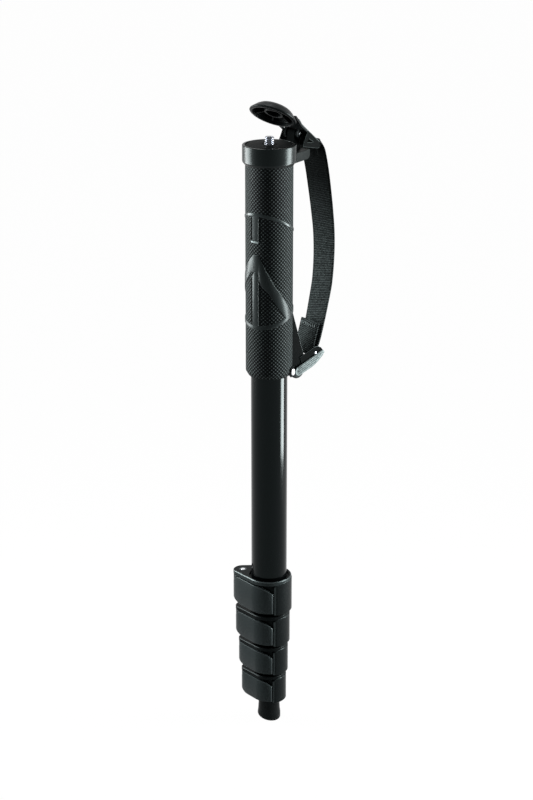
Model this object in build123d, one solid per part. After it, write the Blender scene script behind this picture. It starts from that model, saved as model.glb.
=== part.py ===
from build123d import *
import os
from math import acos, cos, degrees, radians, sin, sqrt, tan

# A five-section monopod, closed. Millimetres, +Z up.
# The origin is where the camera seats on the top pad, and +X is the side of the cap hinge.

# Tubes, from the outside in
tube_outer_r = [12.0, 10.75, 9.5, 8.25, 7.0]
tube_wall = 0.85
tube_tops = [-4.0, -17.0, -40.0, -64.0, -86.0]
bush_length = 18.0
slide_gap = 0.05
seat_gap = 0.02

# Locks, from the top down
lock_outer_r = [15.5, 14.2, 13.0, 11.8]
lock_tops = [-296.0, -322.6, -346.7, -369.0]
lock_bottoms = [-321.0, -345.1, -367.4, -389.3]
ear_reach = [19.6, 18.3, 16.6, 15.0]
ear_r = [6.8, 6.5, 6.0, 5.6]
ear_azimuth = 98.5
lever_span_angle = 124.0
lever_end_gap_angle = 1.2
lock_pin_r = 1.6
lock_pin_head_r = 2.6
lock_pin_head = 1.0
lock_recess = 2.65
lever_wall = 2.6
lever_gap = 0.3
lever_proud = 0.2
bore_gap = 0.1
plate_share = 0.124
socket_share = 0.28
hub_top_share = 0.136
hub_bottom_share = 0.608
lower_ear_top_share = 0.62
lower_ear_bottom_share = 0.72
shoe_top_share = 0.3
shoe_bottom_share = 0.6
shoe_half_angle = 22.0
shoe_gap = 0.05
lower_ear_r = 2.3
# The lever's upper edge, as places along the chord from hinge side to free end, and shares of the height
lever_edge_place_shares = [1.0, 0.9, 0.6, 0.31, 0.144, 0.067, 0.024, -0.1]
lever_edge_depth_shares = [0.3, 0.165, 0.145, 0.146, 0.18, 0.244, 0.316, 0.6]
lever_heel_place_share = 0.86
lever_heel_start_share = 0.6
lever_heel_end_share = 0.8
lever_bottom_share = 0.91

# Collar and pad at the top
collar_r = 17.25
collar_bevel = 0.9
collar_straight = 10.7
collar_height = 12.5
collar_foot_r = 15.75
rim_width = 1.6
pad_groove = 0.6
pad_groove_depth = 0.8
pad_thickness = 1.6
collar_web = 4.0

# Camera screw
screw_r = 3.175
screw_proud = 5.0
screw_pitch = 1.27
screw_crest = 0.32
screw_groove = 0.62
screw_neck_r = 2.6
screw_chamfer = 0.6
screw_flange_r = 6.0
screw_flange = 1.2
screw_hole_gap = 0.25
screw_stud_end = -12.0
head_plug_bottom = -14.0

# Tongue and pivot post on the collar
tongue_half = 8.3
tongue_top = -8.2
tongue_bottom = -14.7
tongue_end = 36.6
tongue_round = 5.0
tongue_root = 9.0
post_half = 3.2
post_r = 3.2
post_foot_half = 4.6
post_gap = 0.4
grip_clear_r = 15.85

# Flip cap, drawn closed and then turned open about its hinge
hinge_x = 28.3
hinge_z = 2.5
cap_open_angle = 34.0
hinge_pin_r = 1.25
hinge_pin_gap = 0.03
hinge_pin_proud = 0.3
cap_r = 15.45
cap_rim_z = 0.5
cap_bevel = 0.9
cap_side = 1.6
cap_cavity_r = 13.4
cap_ceiling = 5.6
cap_top = 6.9
cap_flat_r = 9.5
cap_step_r = 10.4
cap_step = 0.35
boss_outer_r = 6.2
boss_inner_r = 5.0
boss_foot = 2.6
boss_overlap = 0.4
rib_half = 0.5
rib_count = 6
rib_start_angle = 30.0
rib_foot = 3.6
plate_start = 7.0
plate_neck = 21.0
plate_end = 38.2
plate_half_start = 12.6
plate_half = 9.6
plate_thickness = 1.5
arm_start_top = 6.3
arm_top = 5.9
rail_inner = 8.4
rail_outer = 9.6
bar_r = 1.3
bar_reach = 20.6
bar_angle = 8.7
knuckle_r = 3.4
cheek_inner = 3.5
cheek_outer = 5.2
rail_front = 29.6
rail_low = -5.6
rail_back_x = 49.0
rail_back_z = 2.0
rail_eye = [(32.6, -1.1), (34.1, 2.0), (41.5, 2.7)]
screen_x = 33.2
screen_thickness = 1.2
screen_low = -2.4

# Grip sleeve and the raised bands on it
grip_r = 15.3
band_r = 15.55
grip_bottom = -154.4
grip_chamfer_z = -150.3
grip_foot_r = 13.4
band_azimuth = 178.0
upper_ring_z = -50.6
upper_ring_rise = 8.0
upper_ring_width = 1.9
lower_ring_z = -111.4
lower_ring_drop = 6.1
lower_ring_width = 2.6
bar_half = 2.75
upper_bar_top = -43.0
upper_bar_bottom = -60.8
lower_bar_top = -79.8
lower_bar_bottom = -117.0

# Strap bracket and buckle, drawn along +X and then turned to their azimuth
bracket_azimuth = -20.5
bracket_half = 11.0
bracket_top_reach = 11.1
bracket_top_z = -110.1
bracket_out_reach = 20.7
bracket_out_z = -141.7
bracket_heel_reach = 21.3
bracket_heel_z = -145.0
bracket_bed = 1.0
bracket_bed_half = 9.8
buckle_reach = 15.2
buckle_z = -150.6
heel_r = 4.2
ear_band_r = 16.3
ear_band_top = -146.2
ear_band_bottom = -152.6
ear_band_half_angle = 66.0
screw_angle = 57.0
bracket_screw_z = -149.4
bracket_screw_head_r = 1.9
bracket_screw_head = 1.1
bracket_screw_r = 1.0
bracket_screw_tip_r = 11.4
buckle_pin_r = 1.0
buckle_pin_start = 8.6
buckle_pin_gap = 0.03
side_inner = 11.3
side_outer = 12.4
side_root_r = 3.1
lever_rise_angle = 21.3
lever_height = 5.8
lever_length = 23.5
lever_nose_depth_share = 0.3
lever_chin_length_share = 0.86
lever_chin_depth_share = 0.72
lever_low_length_share = 0.68
channel_start = 9.4
channel_inner = 10.0
channel_drop = 0.4
channel_plate = 1.3
tip_bar_length = 1.3
root_bar_length = 2.6
strap_bar_reach = 31.0
strap_bar_z = -142.6
strap_bar_r = 1.1

# Wrist strap
strap_half = 9.1
strap_loop_half = 8.1
strap_thickness = 1.4
strap_bar_gap = 0.3
top_loop_angles = [200.0, 160.0, 120.0, 80.0, 40.0, 10.0]
low_loop_angles = [-10.0, -50.0, -90.0, -130.0, -170.0, -200.0]
# Places along the hanging web: distance from the tube axis, azimuth, height, and lean of its normal
run_reach = [52.2, 54.0, 54.6, 54.2, 53.0, 50.8, 47.7, 43.3, 38.8, 35.0]
run_azimuth = [-1.0, -2.6, -4.5, -7.4, -10.5, -13.0, -15.0, -17.0, -19.0, -20.2]
run_z = [-12.0, -23.0, -35.4, -51.0, -66.6, -82.0, -97.7, -110.4, -123.1, -134.0]
run_lean_angle = [6.0, 4.0, 1.0, -2.0, -7.0, -9.0, -13.0, -18.0, -17.0, -14.0]
hem_reach = [30.6, 34.0]
hem_z = [-134.0, -123.0]
hem_lean_angle = [-192.0, -196.0]

# Foot
foot_tube_drop = 2.7
boot_overlap = 2.2
boot_top_r = 7.2
boot_waist_drop = 0.5
boot_sole_r = 7.9
boot_sole_drop = 8.6
foot_low_drop = 13.0
foot_tilt_angle = 13.5
foot_azimuth = 257.5
foot_plug_r = 6.1
foot_plug_rise = 12.0
foot_plug_drop = 5.0
foot_plug_neck_r = 4.0

overrun = 30.0
full_turn = 360.0
quarter_turn = 90.0
pie_steps = 8


def ring(outer, inner, top, bottom):
    body = cylinder(outer, top, bottom)
    return body - cylinder(inner, top + overrun, bottom - overrun)


def cylinder(radius, top, bottom):
    return Pos(0, 0, bottom) * extrude(Circle(radius), top - bottom)


def turned(points):
    outline = make_face(Polyline(*points, close=True))
    return revolve(Plane.XZ * outline, Axis.Z)


def cross_rod(x, z, radius, start, stop):
    # a round rod along Y at (x, z), from y = start to y = stop
    side = Plane(origin=(x, start, z), x_dir=(1, 0, 0), z_dir=(0, 1, 0))
    return extrude(side * Circle(radius), stop - start)


def side_plate(points, start, stop):
    # an outline in the XZ plane, given thickness from y = start to y = stop
    outline = make_face(Polyline(*[(x, start, z) for x, z in points], close=True))
    return extrude(outline, stop - start, dir=(0, 1, 0))


def block(x0, x1, y0, y1, z0, z1):
    return Pos(x0, y0, z0) * Box(x1 - x0, y1 - y0, z1 - z0, align=(Align.MIN, Align.MIN, Align.MIN))


def drop_shape(big, small, reach):
    # two circles joined by their outer tangents
    lean = acos((big - small) / reach)
    corners = [
        (big * cos(lean), big * sin(lean)),
        (big * cos(lean), -big * sin(lean)),
        (reach + small * cos(lean), -small * sin(lean)),
        (reach + small * cos(lean), small * sin(lean)),
    ]
    joined = make_face(Polyline(*corners, close=True))
    return Circle(big) + Pos(reach, 0) * Circle(small) + joined


def pie(start, stop, radius):
    rim = []
    for i in range(pie_steps + 1):
        turn = radians(start + (stop - start) * i / pie_steps)
        rim.append((radius * cos(turn), radius * sin(turn)))
    return make_face(Polyline((0, 0), *rim, close=True))


def slab(shape, top, bottom):
    return Pos(0, 0, bottom) * extrude(shape, top - bottom)


def mirrored(body):
    return mirror(body, Plane.XZ)


def top_collar():
    groove_r = collar_r - rim_width
    shell = turned([
        (0, 0),
        (collar_r - collar_bevel, 0),
        (collar_r, -collar_bevel),
        (collar_r, -collar_straight),
        (collar_foot_r, -collar_height),
        (0, -collar_height),
    ])
    tongue = block(tongue_root, tongue_end, -tongue_half, tongue_half, tongue_bottom, tongue_top)
    lower_end = tongue.edges().filter_by(Axis.Y).group_by(Axis.X)[-1].sort_by(Axis.Z)[0]
    tongue = fillet(lower_end, tongue_round)
    post = cross_rod(hinge_x, hinge_z, post_r, -post_half, post_half)
    post += side_plate([
        (hinge_x - post_r, hinge_z),
        (hinge_x + post_r, hinge_z),
        (hinge_x + post_foot_half, tongue_top),
        (hinge_x - post_foot_half, tongue_top),
    ], -post_half, post_half)
    body = shell + tongue + post
    body -= cylinder(groove_r, overrun, -pad_groove_depth)
    body -= cylinder(groove_r - pad_groove, overrun, -pad_thickness)
    body -= cylinder(screw_flange_r + screw_hole_gap, overrun, -pad_thickness - screw_flange)
    body -= cylinder(screw_neck_r + screw_hole_gap, overrun, -overrun)
    body -= cylinder(tube_outer_r[0] + slide_gap, -collar_web, -overrun)
    body -= cylinder(grip_clear_r, -collar_height, -overrun)
    body -= cross_rod(hinge_x, hinge_z, hinge_pin_r + hinge_pin_gap, -overrun, overrun)
    return body


def top_pad():
    return ring(collar_r - rim_width - pad_groove - seat_gap, screw_r + screw_hole_gap, 0, -pad_thickness)


def camera_screw():
    # rings stand in for the helix: flat crests, V grooves between them
    root = screw_r - screw_groove
    outline = [(0, screw_proud), (screw_r - screw_chamfer, screw_proud)]
    outline.append((screw_r, screw_proud - screw_chamfer))
    low = screw_proud - screw_pitch / 2
    outline.append((screw_r, low + screw_crest / 2))
    crest = low - screw_crest / 2
    while crest > screw_pitch:
        outline.append((screw_r, crest))
        outline.append((root, crest - (screw_pitch - screw_crest) / 2))
        outline.append((screw_r, crest - (screw_pitch - screw_crest)))
        crest -= screw_pitch
    outline.append((screw_r, 0))
    outline.append((screw_neck_r, 0))
    outline.append((screw_neck_r, -pad_thickness))
    outline.append((screw_flange_r, -pad_thickness))
    outline.append((screw_flange_r, -pad_thickness - screw_flange))
    outline.append((screw_neck_r, -pad_thickness - screw_flange))
    outline.append((screw_neck_r, screw_stud_end))
    outline.append((0, screw_stud_end))
    return turned(outline)


def head_plug():
    plug = cylinder(tube_outer_r[0] - tube_wall - seat_gap, -collar_web, head_plug_bottom)
    return plug - cylinder(screw_neck_r + seat_gap, overrun, screw_stud_end - slide_gap)


def open_cap(body):
    return Pos(hinge_x, 0, hinge_z) * Rot(0, cap_open_angle, 0) * Pos(-hinge_x, 0, -hinge_z) * body


def flip_cap():
    disc = turned([
        (0, cap_rim_z),
        (cap_r - cap_bevel, cap_rim_z),
        (cap_r, cap_rim_z + cap_bevel),
        (cap_r, cap_rim_z + cap_bevel + cap_side),
        (cap_step_r, cap_top - cap_step),
        (cap_flat_r, cap_top),
        (0, cap_top),
    ])
    bar_x = hinge_x + bar_reach * cos(radians(bar_angle))
    bar_z = hinge_z + bar_reach * sin(radians(bar_angle))
    plate_low = arm_top - plate_thickness
    plan = make_face(Polyline(
        (plate_start, -plate_half_start),
        (plate_neck, -plate_half),
        (plate_end, -plate_half),
        (plate_end, plate_half),
        (plate_neck, plate_half),
        (plate_start, plate_half_start),
        close=True,
    ))
    profile = side_plate([
        (plate_start, arm_start_top),
        (plate_neck, arm_top),
        (plate_end, arm_top),
        (plate_end, plate_low),
        (plate_start, plate_low),
    ], -overrun, overrun)
    arm = slab(plan, cap_top, cap_rim_z) & profile
    # beyond the hinge the plate is slotted, so that the post passes when the cap opens
    arm -= block(hinge_x, plate_end, -cheek_inner, cheek_inner, cap_rim_z, cap_top)
    rail_outline = [
        (rail_front, arm_top),
        (bar_x - bar_r, bar_z + bar_r),
        (bar_x + bar_r, bar_z + bar_r / 2),
        (bar_x + bar_r, bar_z - bar_r),
        (rail_back_x, rail_back_z),
        (rail_front, rail_low),
    ]
    rail = side_plate(rail_outline, rail_inner, rail_outer)
    rail -= side_plate(rail_eye, 0, overrun)
    rails = rail + mirrored(rail)
    end_bar = cross_rod(bar_x, bar_z, bar_r, -rail_outer, rail_outer)
    # webs beside the post join the cheeks to the rails
    screen = side_plate([
        (screen_x, arm_top),
        (screen_x + screen_thickness, arm_top),
        (screen_x + screen_thickness, screen_low),
        (screen_x, screen_low),
    ], post_half + post_gap, rail_outer)
    cheek = cross_rod(hinge_x, hinge_z, knuckle_r, cheek_inner, cheek_outer)
    cheek += side_plate([
        (hinge_x - knuckle_r, arm_top),
        (hinge_x + knuckle_r, arm_top),
        (hinge_x + knuckle_r, hinge_z),
        (hinge_x - knuckle_r, hinge_z),
    ], cheek_inner, cheek_outer)
    cheek += screen
    cheeks = cheek + mirrored(cheek)
    body = disc + arm + rails + end_bar + cheeks
    body -= turned([
        (0, cap_ceiling),
        (cap_flat_r, cap_ceiling),
        (cap_cavity_r, cap_rim_z + cap_bevel + cap_side),
        (cap_cavity_r, -overrun),
        (0, -overrun),
    ])
    boss = ring(boss_outer_r, boss_inner_r, cap_ceiling, boss_foot)
    rib = side_plate([
        (boss_outer_r - boss_overlap, cap_ceiling),
        (cap_flat_r, cap_ceiling),
        (cap_cavity_r, cap_rim_z + cap_bevel + cap_side),
        (cap_cavity_r, cap_rim_z + cap_bevel),
        (boss_outer_r - boss_overlap, rib_foot),
    ], -rib_half, rib_half)
    ribs = [
        Rot(0, 0, rib_start_angle + full_turn * i / rib_count) * rib
        for i in range(rib_count)
    ]
    for piece in [boss, *ribs]:
        body += piece
    body -= cross_rod(hinge_x, hinge_z, post_r + post_gap, -cheek_inner, cheek_inner)
    body -= cross_rod(hinge_x, hinge_z, hinge_pin_r + hinge_pin_gap, -overrun, overrun)
    return open_cap(body)


def cap_hinge_pin():
    reach = cheek_outer + hinge_pin_proud
    return open_cap(cross_rod(hinge_x, hinge_z, hinge_pin_r, -reach, reach))


def tilted_ring(middle, rise, width):
    # a ring cut by a leaning plane: highest at the band azimuth when rise is positive
    lean = degrees(rise_angle(rise))
    layer = Pos(0, 0, middle) * Rot(0, 0, band_azimuth) * Rot(0, -lean, 0) * Cylinder(overrun, width)
    return layer & ring(band_r, tube_outer_r[0] + slide_gap, 0, grip_bottom)


def rise_angle(rise):
    return acos(band_r / sqrt(band_r ** 2 + rise ** 2)) * (1 if rise > 0 else -1)


def grip_sleeve():
    body = turned([
        (0, -collar_height),
        (grip_r, -collar_height),
        (grip_r, grip_chamfer_z),
        (grip_foot_r, grip_bottom),
        (0, grip_bottom),
    ])
    shell = cylinder(band_r, -collar_height, grip_bottom)
    for top, bottom in [(upper_bar_top, upper_bar_bottom), (lower_bar_top, lower_bar_bottom)]:
        strip = block(0, overrun, -bar_half, bar_half, bottom, top)
        body += Rot(0, 0, band_azimuth) * strip & shell
    body -= cylinder(tube_outer_r[0] + seat_gap, overrun, grip_bottom - overrun)
    body += tilted_ring(upper_ring_z, upper_ring_rise, upper_ring_width)
    body += tilted_ring(lower_ring_z, -lower_ring_drop, lower_ring_width)
    for side in (-1, 1):
        hole = bracket_screw_rod(bracket_screw_r + seat_gap, tube_wall, overrun)
        body -= Rot(0, 0, bracket_azimuth + side * screw_angle) * hole
    return body


def at_bracket(body):
    return Rot(0, 0, bracket_azimuth) * body


def bracket_outline(inset):
    return [
        (0, bracket_top_z + inset),
        (bracket_top_reach - inset, bracket_top_z),
        (bracket_out_reach - inset, bracket_out_z),
        (bracket_heel_reach - inset, bracket_heel_z),
        (buckle_reach + heel_r - inset, buckle_z),
        (0, buckle_z),
    ]


def strap_bracket():
    body = side_plate(bracket_outline(0), -bracket_half, bracket_half)
    body += cross_rod(buckle_reach, buckle_z, heel_r, -bracket_half, bracket_half)
    bed = side_plate([
        (bracket_top_reach - bracket_bed, bracket_top_z),
        (bracket_top_reach + overrun, bracket_top_z),
        (bracket_out_reach + overrun, bracket_heel_z),
        (bracket_heel_reach - bracket_bed, bracket_heel_z),
        (bracket_out_reach - bracket_bed, bracket_out_z),
    ], -bracket_bed_half, bracket_bed_half)
    body -= bed
    band = slab(pie(-ear_band_half_angle, ear_band_half_angle, overrun), ear_band_top, ear_band_bottom)
    body += band & cylinder(ear_band_r, ear_band_top, ear_band_bottom)
    body -= cylinder(band_r + seat_gap, overrun, grip_bottom - overrun)
    pin_start = buckle_pin_start - seat_gap
    pin_hole = cross_rod(buckle_reach, buckle_z, buckle_pin_r + seat_gap, pin_start, overrun)
    screw_hole = bracket_screw_rod(bracket_screw_r + seat_gap, tube_outer_r[0], overrun)
    body -= pin_hole
    body -= mirrored(pin_hole)
    body -= Rot(0, 0, screw_angle) * screw_hole
    body -= Rot(0, 0, -screw_angle) * screw_hole
    return at_bracket(body)


def bracket_screw_rod(radius, start, stop):
    rod = Plane(origin=(start, 0, bracket_screw_z), x_dir=(0, 1, 0), z_dir=(1, 0, 0))
    return extrude(rod * Circle(radius), stop - start)


def bracket_screws():
    head = bracket_screw_rod(bracket_screw_head_r, ear_band_r, ear_band_r + bracket_screw_head)
    rim = head.faces().sort_by(Axis.X)[-1].edges()
    head = fillet(rim, bracket_screw_head / 2)
    screw = head + bracket_screw_rod(bracket_screw_r, bracket_screw_tip_r, ear_band_r)
    return at_bracket(Rot(0, 0, screw_angle) * screw + Rot(0, 0, -screw_angle) * screw)


def buckle_pins():
    pin = cross_rod(buckle_reach, buckle_z, buckle_pin_r, buckle_pin_start, side_outer)
    return at_bracket(pin + mirrored(pin))


def lever_point(along, down):
    # a place on the buckle lever: along it from the hinge, and down from its upper edge
    rise = radians(lever_rise_angle)
    top_x = buckle_reach - side_root_r * sin(rise)
    top_z = buckle_z + side_root_r * cos(rise)
    return (top_x + along * cos(rise) + down * sin(rise), top_z + along * sin(rise) - down * cos(rise))


def lever_outline(inset, start):
    return [
        lever_point(start, inset),
        lever_point(lever_length, inset),
        lever_point(lever_length + inset, lever_height * lever_nose_depth_share),
        lever_point(lever_length * lever_chin_length_share, lever_height * lever_chin_depth_share),
        lever_point(lever_length * lever_low_length_share, lever_height - inset),
        lever_point(start, lever_height - inset),
    ]


def buckle_side_plates():
    plate = side_plate(lever_outline(0, 0), side_inner, side_outer)
    plate += cross_rod(buckle_reach, buckle_z, side_root_r, side_inner, side_outer)
    plate -= cross_rod(buckle_reach, buckle_z, buckle_pin_r + buckle_pin_gap, 0, overrun)
    plate -= cross_rod(strap_bar_reach, strap_bar_z, strap_bar_r + seat_gap, 0, side_outer - seat_gap)
    return at_bracket(plate + mirrored(plate))


def buckle_channel():
    web = side_plate(lever_outline(channel_drop, channel_start), channel_inner, side_inner)
    body = web + mirrored(web)
    tip = [
        lever_point(lever_length - tip_bar_length, channel_drop),
        lever_point(lever_length, channel_drop),
        lever_point(lever_length, channel_drop + channel_plate),
        lever_point(lever_length - tip_bar_length, channel_drop + channel_plate),
    ]
    root = [
        lever_point(channel_start, lever_height - channel_drop - channel_plate),
        lever_point(channel_start + root_bar_length, lever_height - channel_drop - channel_plate),
        lever_point(channel_start + root_bar_length, lever_height - channel_drop),
        lever_point(channel_start, lever_height - channel_drop),
    ]
    body += side_plate(tip, -side_inner, side_inner)
    body += side_plate(root, -side_inner, side_inner)
    body -= cross_rod(strap_bar_reach, strap_bar_z, strap_bar_r + seat_gap, -overrun, overrun)
    return at_bracket(body)


def strap_bar():
    reach = side_outer - seat_gap * 2
    return at_bracket(cross_rod(strap_bar_reach, strap_bar_z, strap_bar_r, -reach, reach))


def rotated(point, azimuth):
    x, y = point
    turn = radians(azimuth)
    return (x * cos(turn) - y * sin(turn), x * sin(turn) + y * cos(turn))


def strap_section(reach, azimuth, z, lean, half):
    # one cross-section of the web: wide along the azimuth's tangent, thin along the leaning normal
    normal = (cos(radians(lean)), sin(radians(lean)))
    corners = []
    for side, face in [(-1, -1), (1, -1), (1, 1), (-1, 1)]:
        out = reach + face * normal[0] * strap_thickness / 2
        height = z + face * normal[1] * strap_thickness / 2
        x, y = rotated((out, side * half), azimuth)
        corners.append((x, y, height))
    return Face(Wire.make_polygon([Vector(*corner) for corner in corners], close=True))


def wrist_strap():
    open_angle = radians(bar_angle - cap_open_angle)
    top_x = hinge_x + bar_reach * cos(open_angle)
    top_z = hinge_z + bar_reach * sin(open_angle)
    top_loop = bar_r + strap_bar_gap + strap_thickness / 2
    low_loop = strap_bar_r + strap_bar_gap + strap_thickness / 2
    stations = []
    for angle in top_loop_angles:
        turn = radians(angle)
        place = (top_x + top_loop * cos(turn), 0, top_z + top_loop * sin(turn))
        stations.append((*place, angle, strap_loop_half))
    for place in zip(run_reach, run_azimuth, run_z, run_lean_angle):
        stations.append((*place, strap_half))
    for angle in low_loop_angles:
        turn = radians(angle)
        place = (strap_bar_reach + low_loop * cos(turn), bracket_azimuth, strap_bar_z + low_loop * sin(turn))
        stations.append((*place, angle, strap_half))
    for reach, z, angle in zip(hem_reach, hem_z, hem_lean_angle):
        stations.append((reach, bracket_azimuth, z, angle, strap_half))
    return loft([strap_section(*station) for station in stations], ruled=True)


def in_lock(body):
    return Rot(0, 0, ear_azimuth) * body


def lock_height(n):
    return lock_tops[n] - lock_bottoms[n]


def lock_z(n, share):
    return lock_tops[n] - share * lock_height(n)


def foot_tube_end():
    return lock_bottoms[-1] - foot_tube_drop


def shoe_window(n, grow):
    # the sector the shoe fills, or with grow, the slightly larger hole it sits in
    outline = pie(-shoe_half_angle - grow, shoe_half_angle + grow, overrun)
    top = lock_z(n, shoe_top_share) + grow * slide_gap
    bottom = lock_z(n, shoe_bottom_share) - grow * slide_gap
    return slab(outline, top, bottom)


def lock_body(n):
    top, bottom, outer = lock_tops[n], lock_bottoms[n], lock_outer_r[n]
    reach, inner = ear_reach[n], outer - lock_recess
    plate_bottom = lock_z(n, plate_share)
    ear_top = lock_z(n, lower_ear_top_share)
    ear_bottom = lock_z(n, lower_ear_bottom_share)
    body = slab(drop_shape(outer, ear_r[n], reach), top, plate_bottom)
    rim = body.edges().group_by(Axis.Z)[-1]
    body = chamfer(rim, lever_gap)
    body += cylinder(inner, top, bottom)
    hub_side = degrees(acos((reach ** 2 + outer ** 2 - (ear_r[n] + lever_gap) ** 2) / (2 * reach * outer)))
    full = slab(pie(lever_span_angle + lever_end_gap_angle, full_turn - hub_side, overrun * 2), top, bottom)
    body += full & cylinder(outer, top, bottom)
    body += block(tube_outer_r[n], reach, -lower_ear_r, lower_ear_r, ear_bottom, ear_top)
    body += Pos(reach, 0) * cylinder(lower_ear_r, ear_top, ear_bottom)
    body -= cylinder(tube_outer_r[n] + seat_gap, overrun, lock_z(n, socket_share))
    body -= cylinder(tube_outer_r[n + 1] + bore_gap, top, bottom - overrun)
    body -= shoe_window(n, 1)
    body -= Pos(reach, 0) * cylinder(lock_pin_r + seat_gap, overrun, bottom - overrun)
    body -= Pos(reach, 0) * cylinder(lock_pin_head_r + seat_gap, overrun, top - lock_pin_head)
    return in_lock(body)


def lock_lever(n):
    top, bottom, outer = lock_tops[n], lock_bottoms[n], lock_outer_r[n]
    reach = ear_reach[n]
    height = lock_height(n)
    hub_r = ear_r[n] - lever_gap - bore_gap
    outside = drop_shape(outer + lever_proud, hub_r + bore_gap, reach)
    inside = drop_shape(outer + lever_proud - lever_wall, hub_r + bore_gap - lever_wall, reach)
    wall = slab(outside, top, bottom) - slab(inside, top + overrun, bottom - overrun)
    wall = wall & slab(pie(0, lever_span_angle, overrun * 2), top, bottom)
    # the side outline, seen square to the chord between hinge and free end
    middle = lever_span_angle / 2
    hinge_side = reach * sin(radians(middle)) + hub_r + bore_gap
    free_side = (outer + lever_proud) * sin(radians(middle))
    chord = hinge_side + free_side
    low = lock_z(n, lever_bottom_share)
    edge = []
    for place, depth in zip(lever_edge_place_shares, lever_edge_depth_shares):
        edge.append((-free_side + chord * place, top - depth * height))
    heel = [
        (-free_side - chord, low),
        (-free_side + chord * lever_heel_place_share, low),
        (-free_side + chord * lever_heel_place_share, top - lever_heel_end_share * height),
        (hinge_side, top - lever_heel_start_share * height),
    ]
    curve = Spline(*[Vector(u, 0, z) for u, z in edge[1:]])
    start = Line((edge[0][0], 0, edge[0][1]), (edge[1][0], 0, edge[1][1]))
    rest = Polyline((edge[-1][0], 0, edge[-1][1]), (-free_side - chord, 0, edge[-1][1]),
                    *[(u, 0, z) for u, z in heel], (edge[0][0], 0, edge[0][1]))
    window = make_face(Curve() + [start, curve, rest])
    window = extrude(window, overrun * 2, dir=(0, 1, 0), both=True)
    wall = wall & (Rot(0, 0, middle - quarter_turn) * window)
    hub = Pos(reach, 0) * cylinder(hub_r, lock_z(n, hub_top_share), lock_z(n, hub_bottom_share))
    body = wall + hub
    body -= Pos(reach, 0) * cylinder(lock_pin_r + slide_gap, overrun, bottom - overrun)
    return in_lock(body)


def lock_pin(n):
    top = lock_tops[n]
    body = cylinder(lock_pin_head_r, top, top - lock_pin_head)
    body += cylinder(lock_pin_r, top, lock_z(n, lower_ear_bottom_share))
    return in_lock(Pos(ear_reach[n], 0) * body)


def lock_shoe(n):
    face = tube_outer_r[n + 1] + shoe_gap
    back = lock_outer_r[n] - lock_recess + lever_gap / 2
    body = ring(back, face, lock_z(n, shoe_top_share), lock_z(n, shoe_bottom_share))
    return in_lock(body & shoe_window(n, 0))


def tube(n):
    ends = [lock_z(i, socket_share) for i in range(len(lock_tops))] + [foot_tube_end()]
    body = ring(tube_outer_r[n], tube_outer_r[n] - tube_wall, tube_tops[n], ends[n])
    if n == 0:
        for side in (-1, 1):
            hole = bracket_screw_rod(bracket_screw_r + seat_gap, bracket_screw_tip_r - seat_gap, overrun)
            body -= Rot(0, 0, bracket_azimuth + side * screw_angle) * hole
    return body


def glide_bush(n):
    inner = tube_outer_r[n]
    outer = tube_outer_r[n - 1] - tube_wall - slide_gap
    return ring(outer, inner, tube_tops[n], tube_tops[n] - bush_length)


def foot_plug():
    end = foot_tube_end()
    body = cylinder(foot_plug_r, end + foot_plug_rise, end)
    return body + cylinder(foot_plug_neck_r, end, end - foot_plug_drop)


def rubber_foot():
    end = foot_tube_end()
    low = end - foot_low_drop
    body = turned([
        (0, end + boot_overlap),
        (boot_top_r, end + boot_overlap),
        (boot_top_r, end - boot_waist_drop),
        (boot_sole_r, end - boot_sole_drop),
        (boot_sole_r, low - boot_sole_r),
        (0, low - boot_sole_r),
    ])
    middle = low + boot_sole_r * tan(radians(foot_tilt_angle))
    cut = Pos(0, 0, middle) * Rot(0, 0, foot_azimuth) * Rot(0, foot_tilt_angle, 0)
    body -= cut * (Pos(0, 0, -overrun) * Box(overrun * 2, overrun * 2, overrun * 2))
    body -= cylinder(tube_outer_r[-1] + seat_gap, overrun, end)
    body -= cylinder(foot_plug_neck_r + seat_gap, overrun, end - foot_plug_drop - seat_gap)
    return body


def write_all():
    os.makedirs("parts", exist_ok=True)
    pieces = {
        "top_collar": top_collar(),
        "top_pad": top_pad(),
        "camera_screw": camera_screw(),
        "head_plug": head_plug(),
        "flip_cap": flip_cap(),
        "cap_hinge_pin": cap_hinge_pin(),
        "wrist_strap": wrist_strap(),
        "grip_sleeve": grip_sleeve(),
        "strap_bracket": strap_bracket(),
        "bracket_screws": bracket_screws(),
        "buckle_pins": buckle_pins(),
        "buckle_side_plates": buckle_side_plates(),
        "buckle_channel": buckle_channel(),
        "strap_bar": strap_bar(),
        "foot_plug": foot_plug(),
        "rubber_foot": rubber_foot(),
    }
    for n in range(len(tube_outer_r)):
        pieces[f"tube_{n + 1}"] = tube(n)
    for n in range(1, len(tube_outer_r)):
        pieces[f"glide_bush_{n + 1}"] = glide_bush(n)
    for n in range(len(lock_tops)):
        pieces[f"lock_{n + 1}_body"] = lock_body(n)
        pieces[f"lock_{n + 1}_lever"] = lock_lever(n)
        pieces[f"lock_{n + 1}_pin"] = lock_pin(n)
        pieces[f"lock_{n + 1}_shoe"] = lock_shoe(n)
    for name, body in pieces.items():
        export_step(body, f"parts/{name}.step")


write_all()
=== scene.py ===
import bmesh
import bpy
import math
from mathutils import Matrix, Vector


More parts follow.
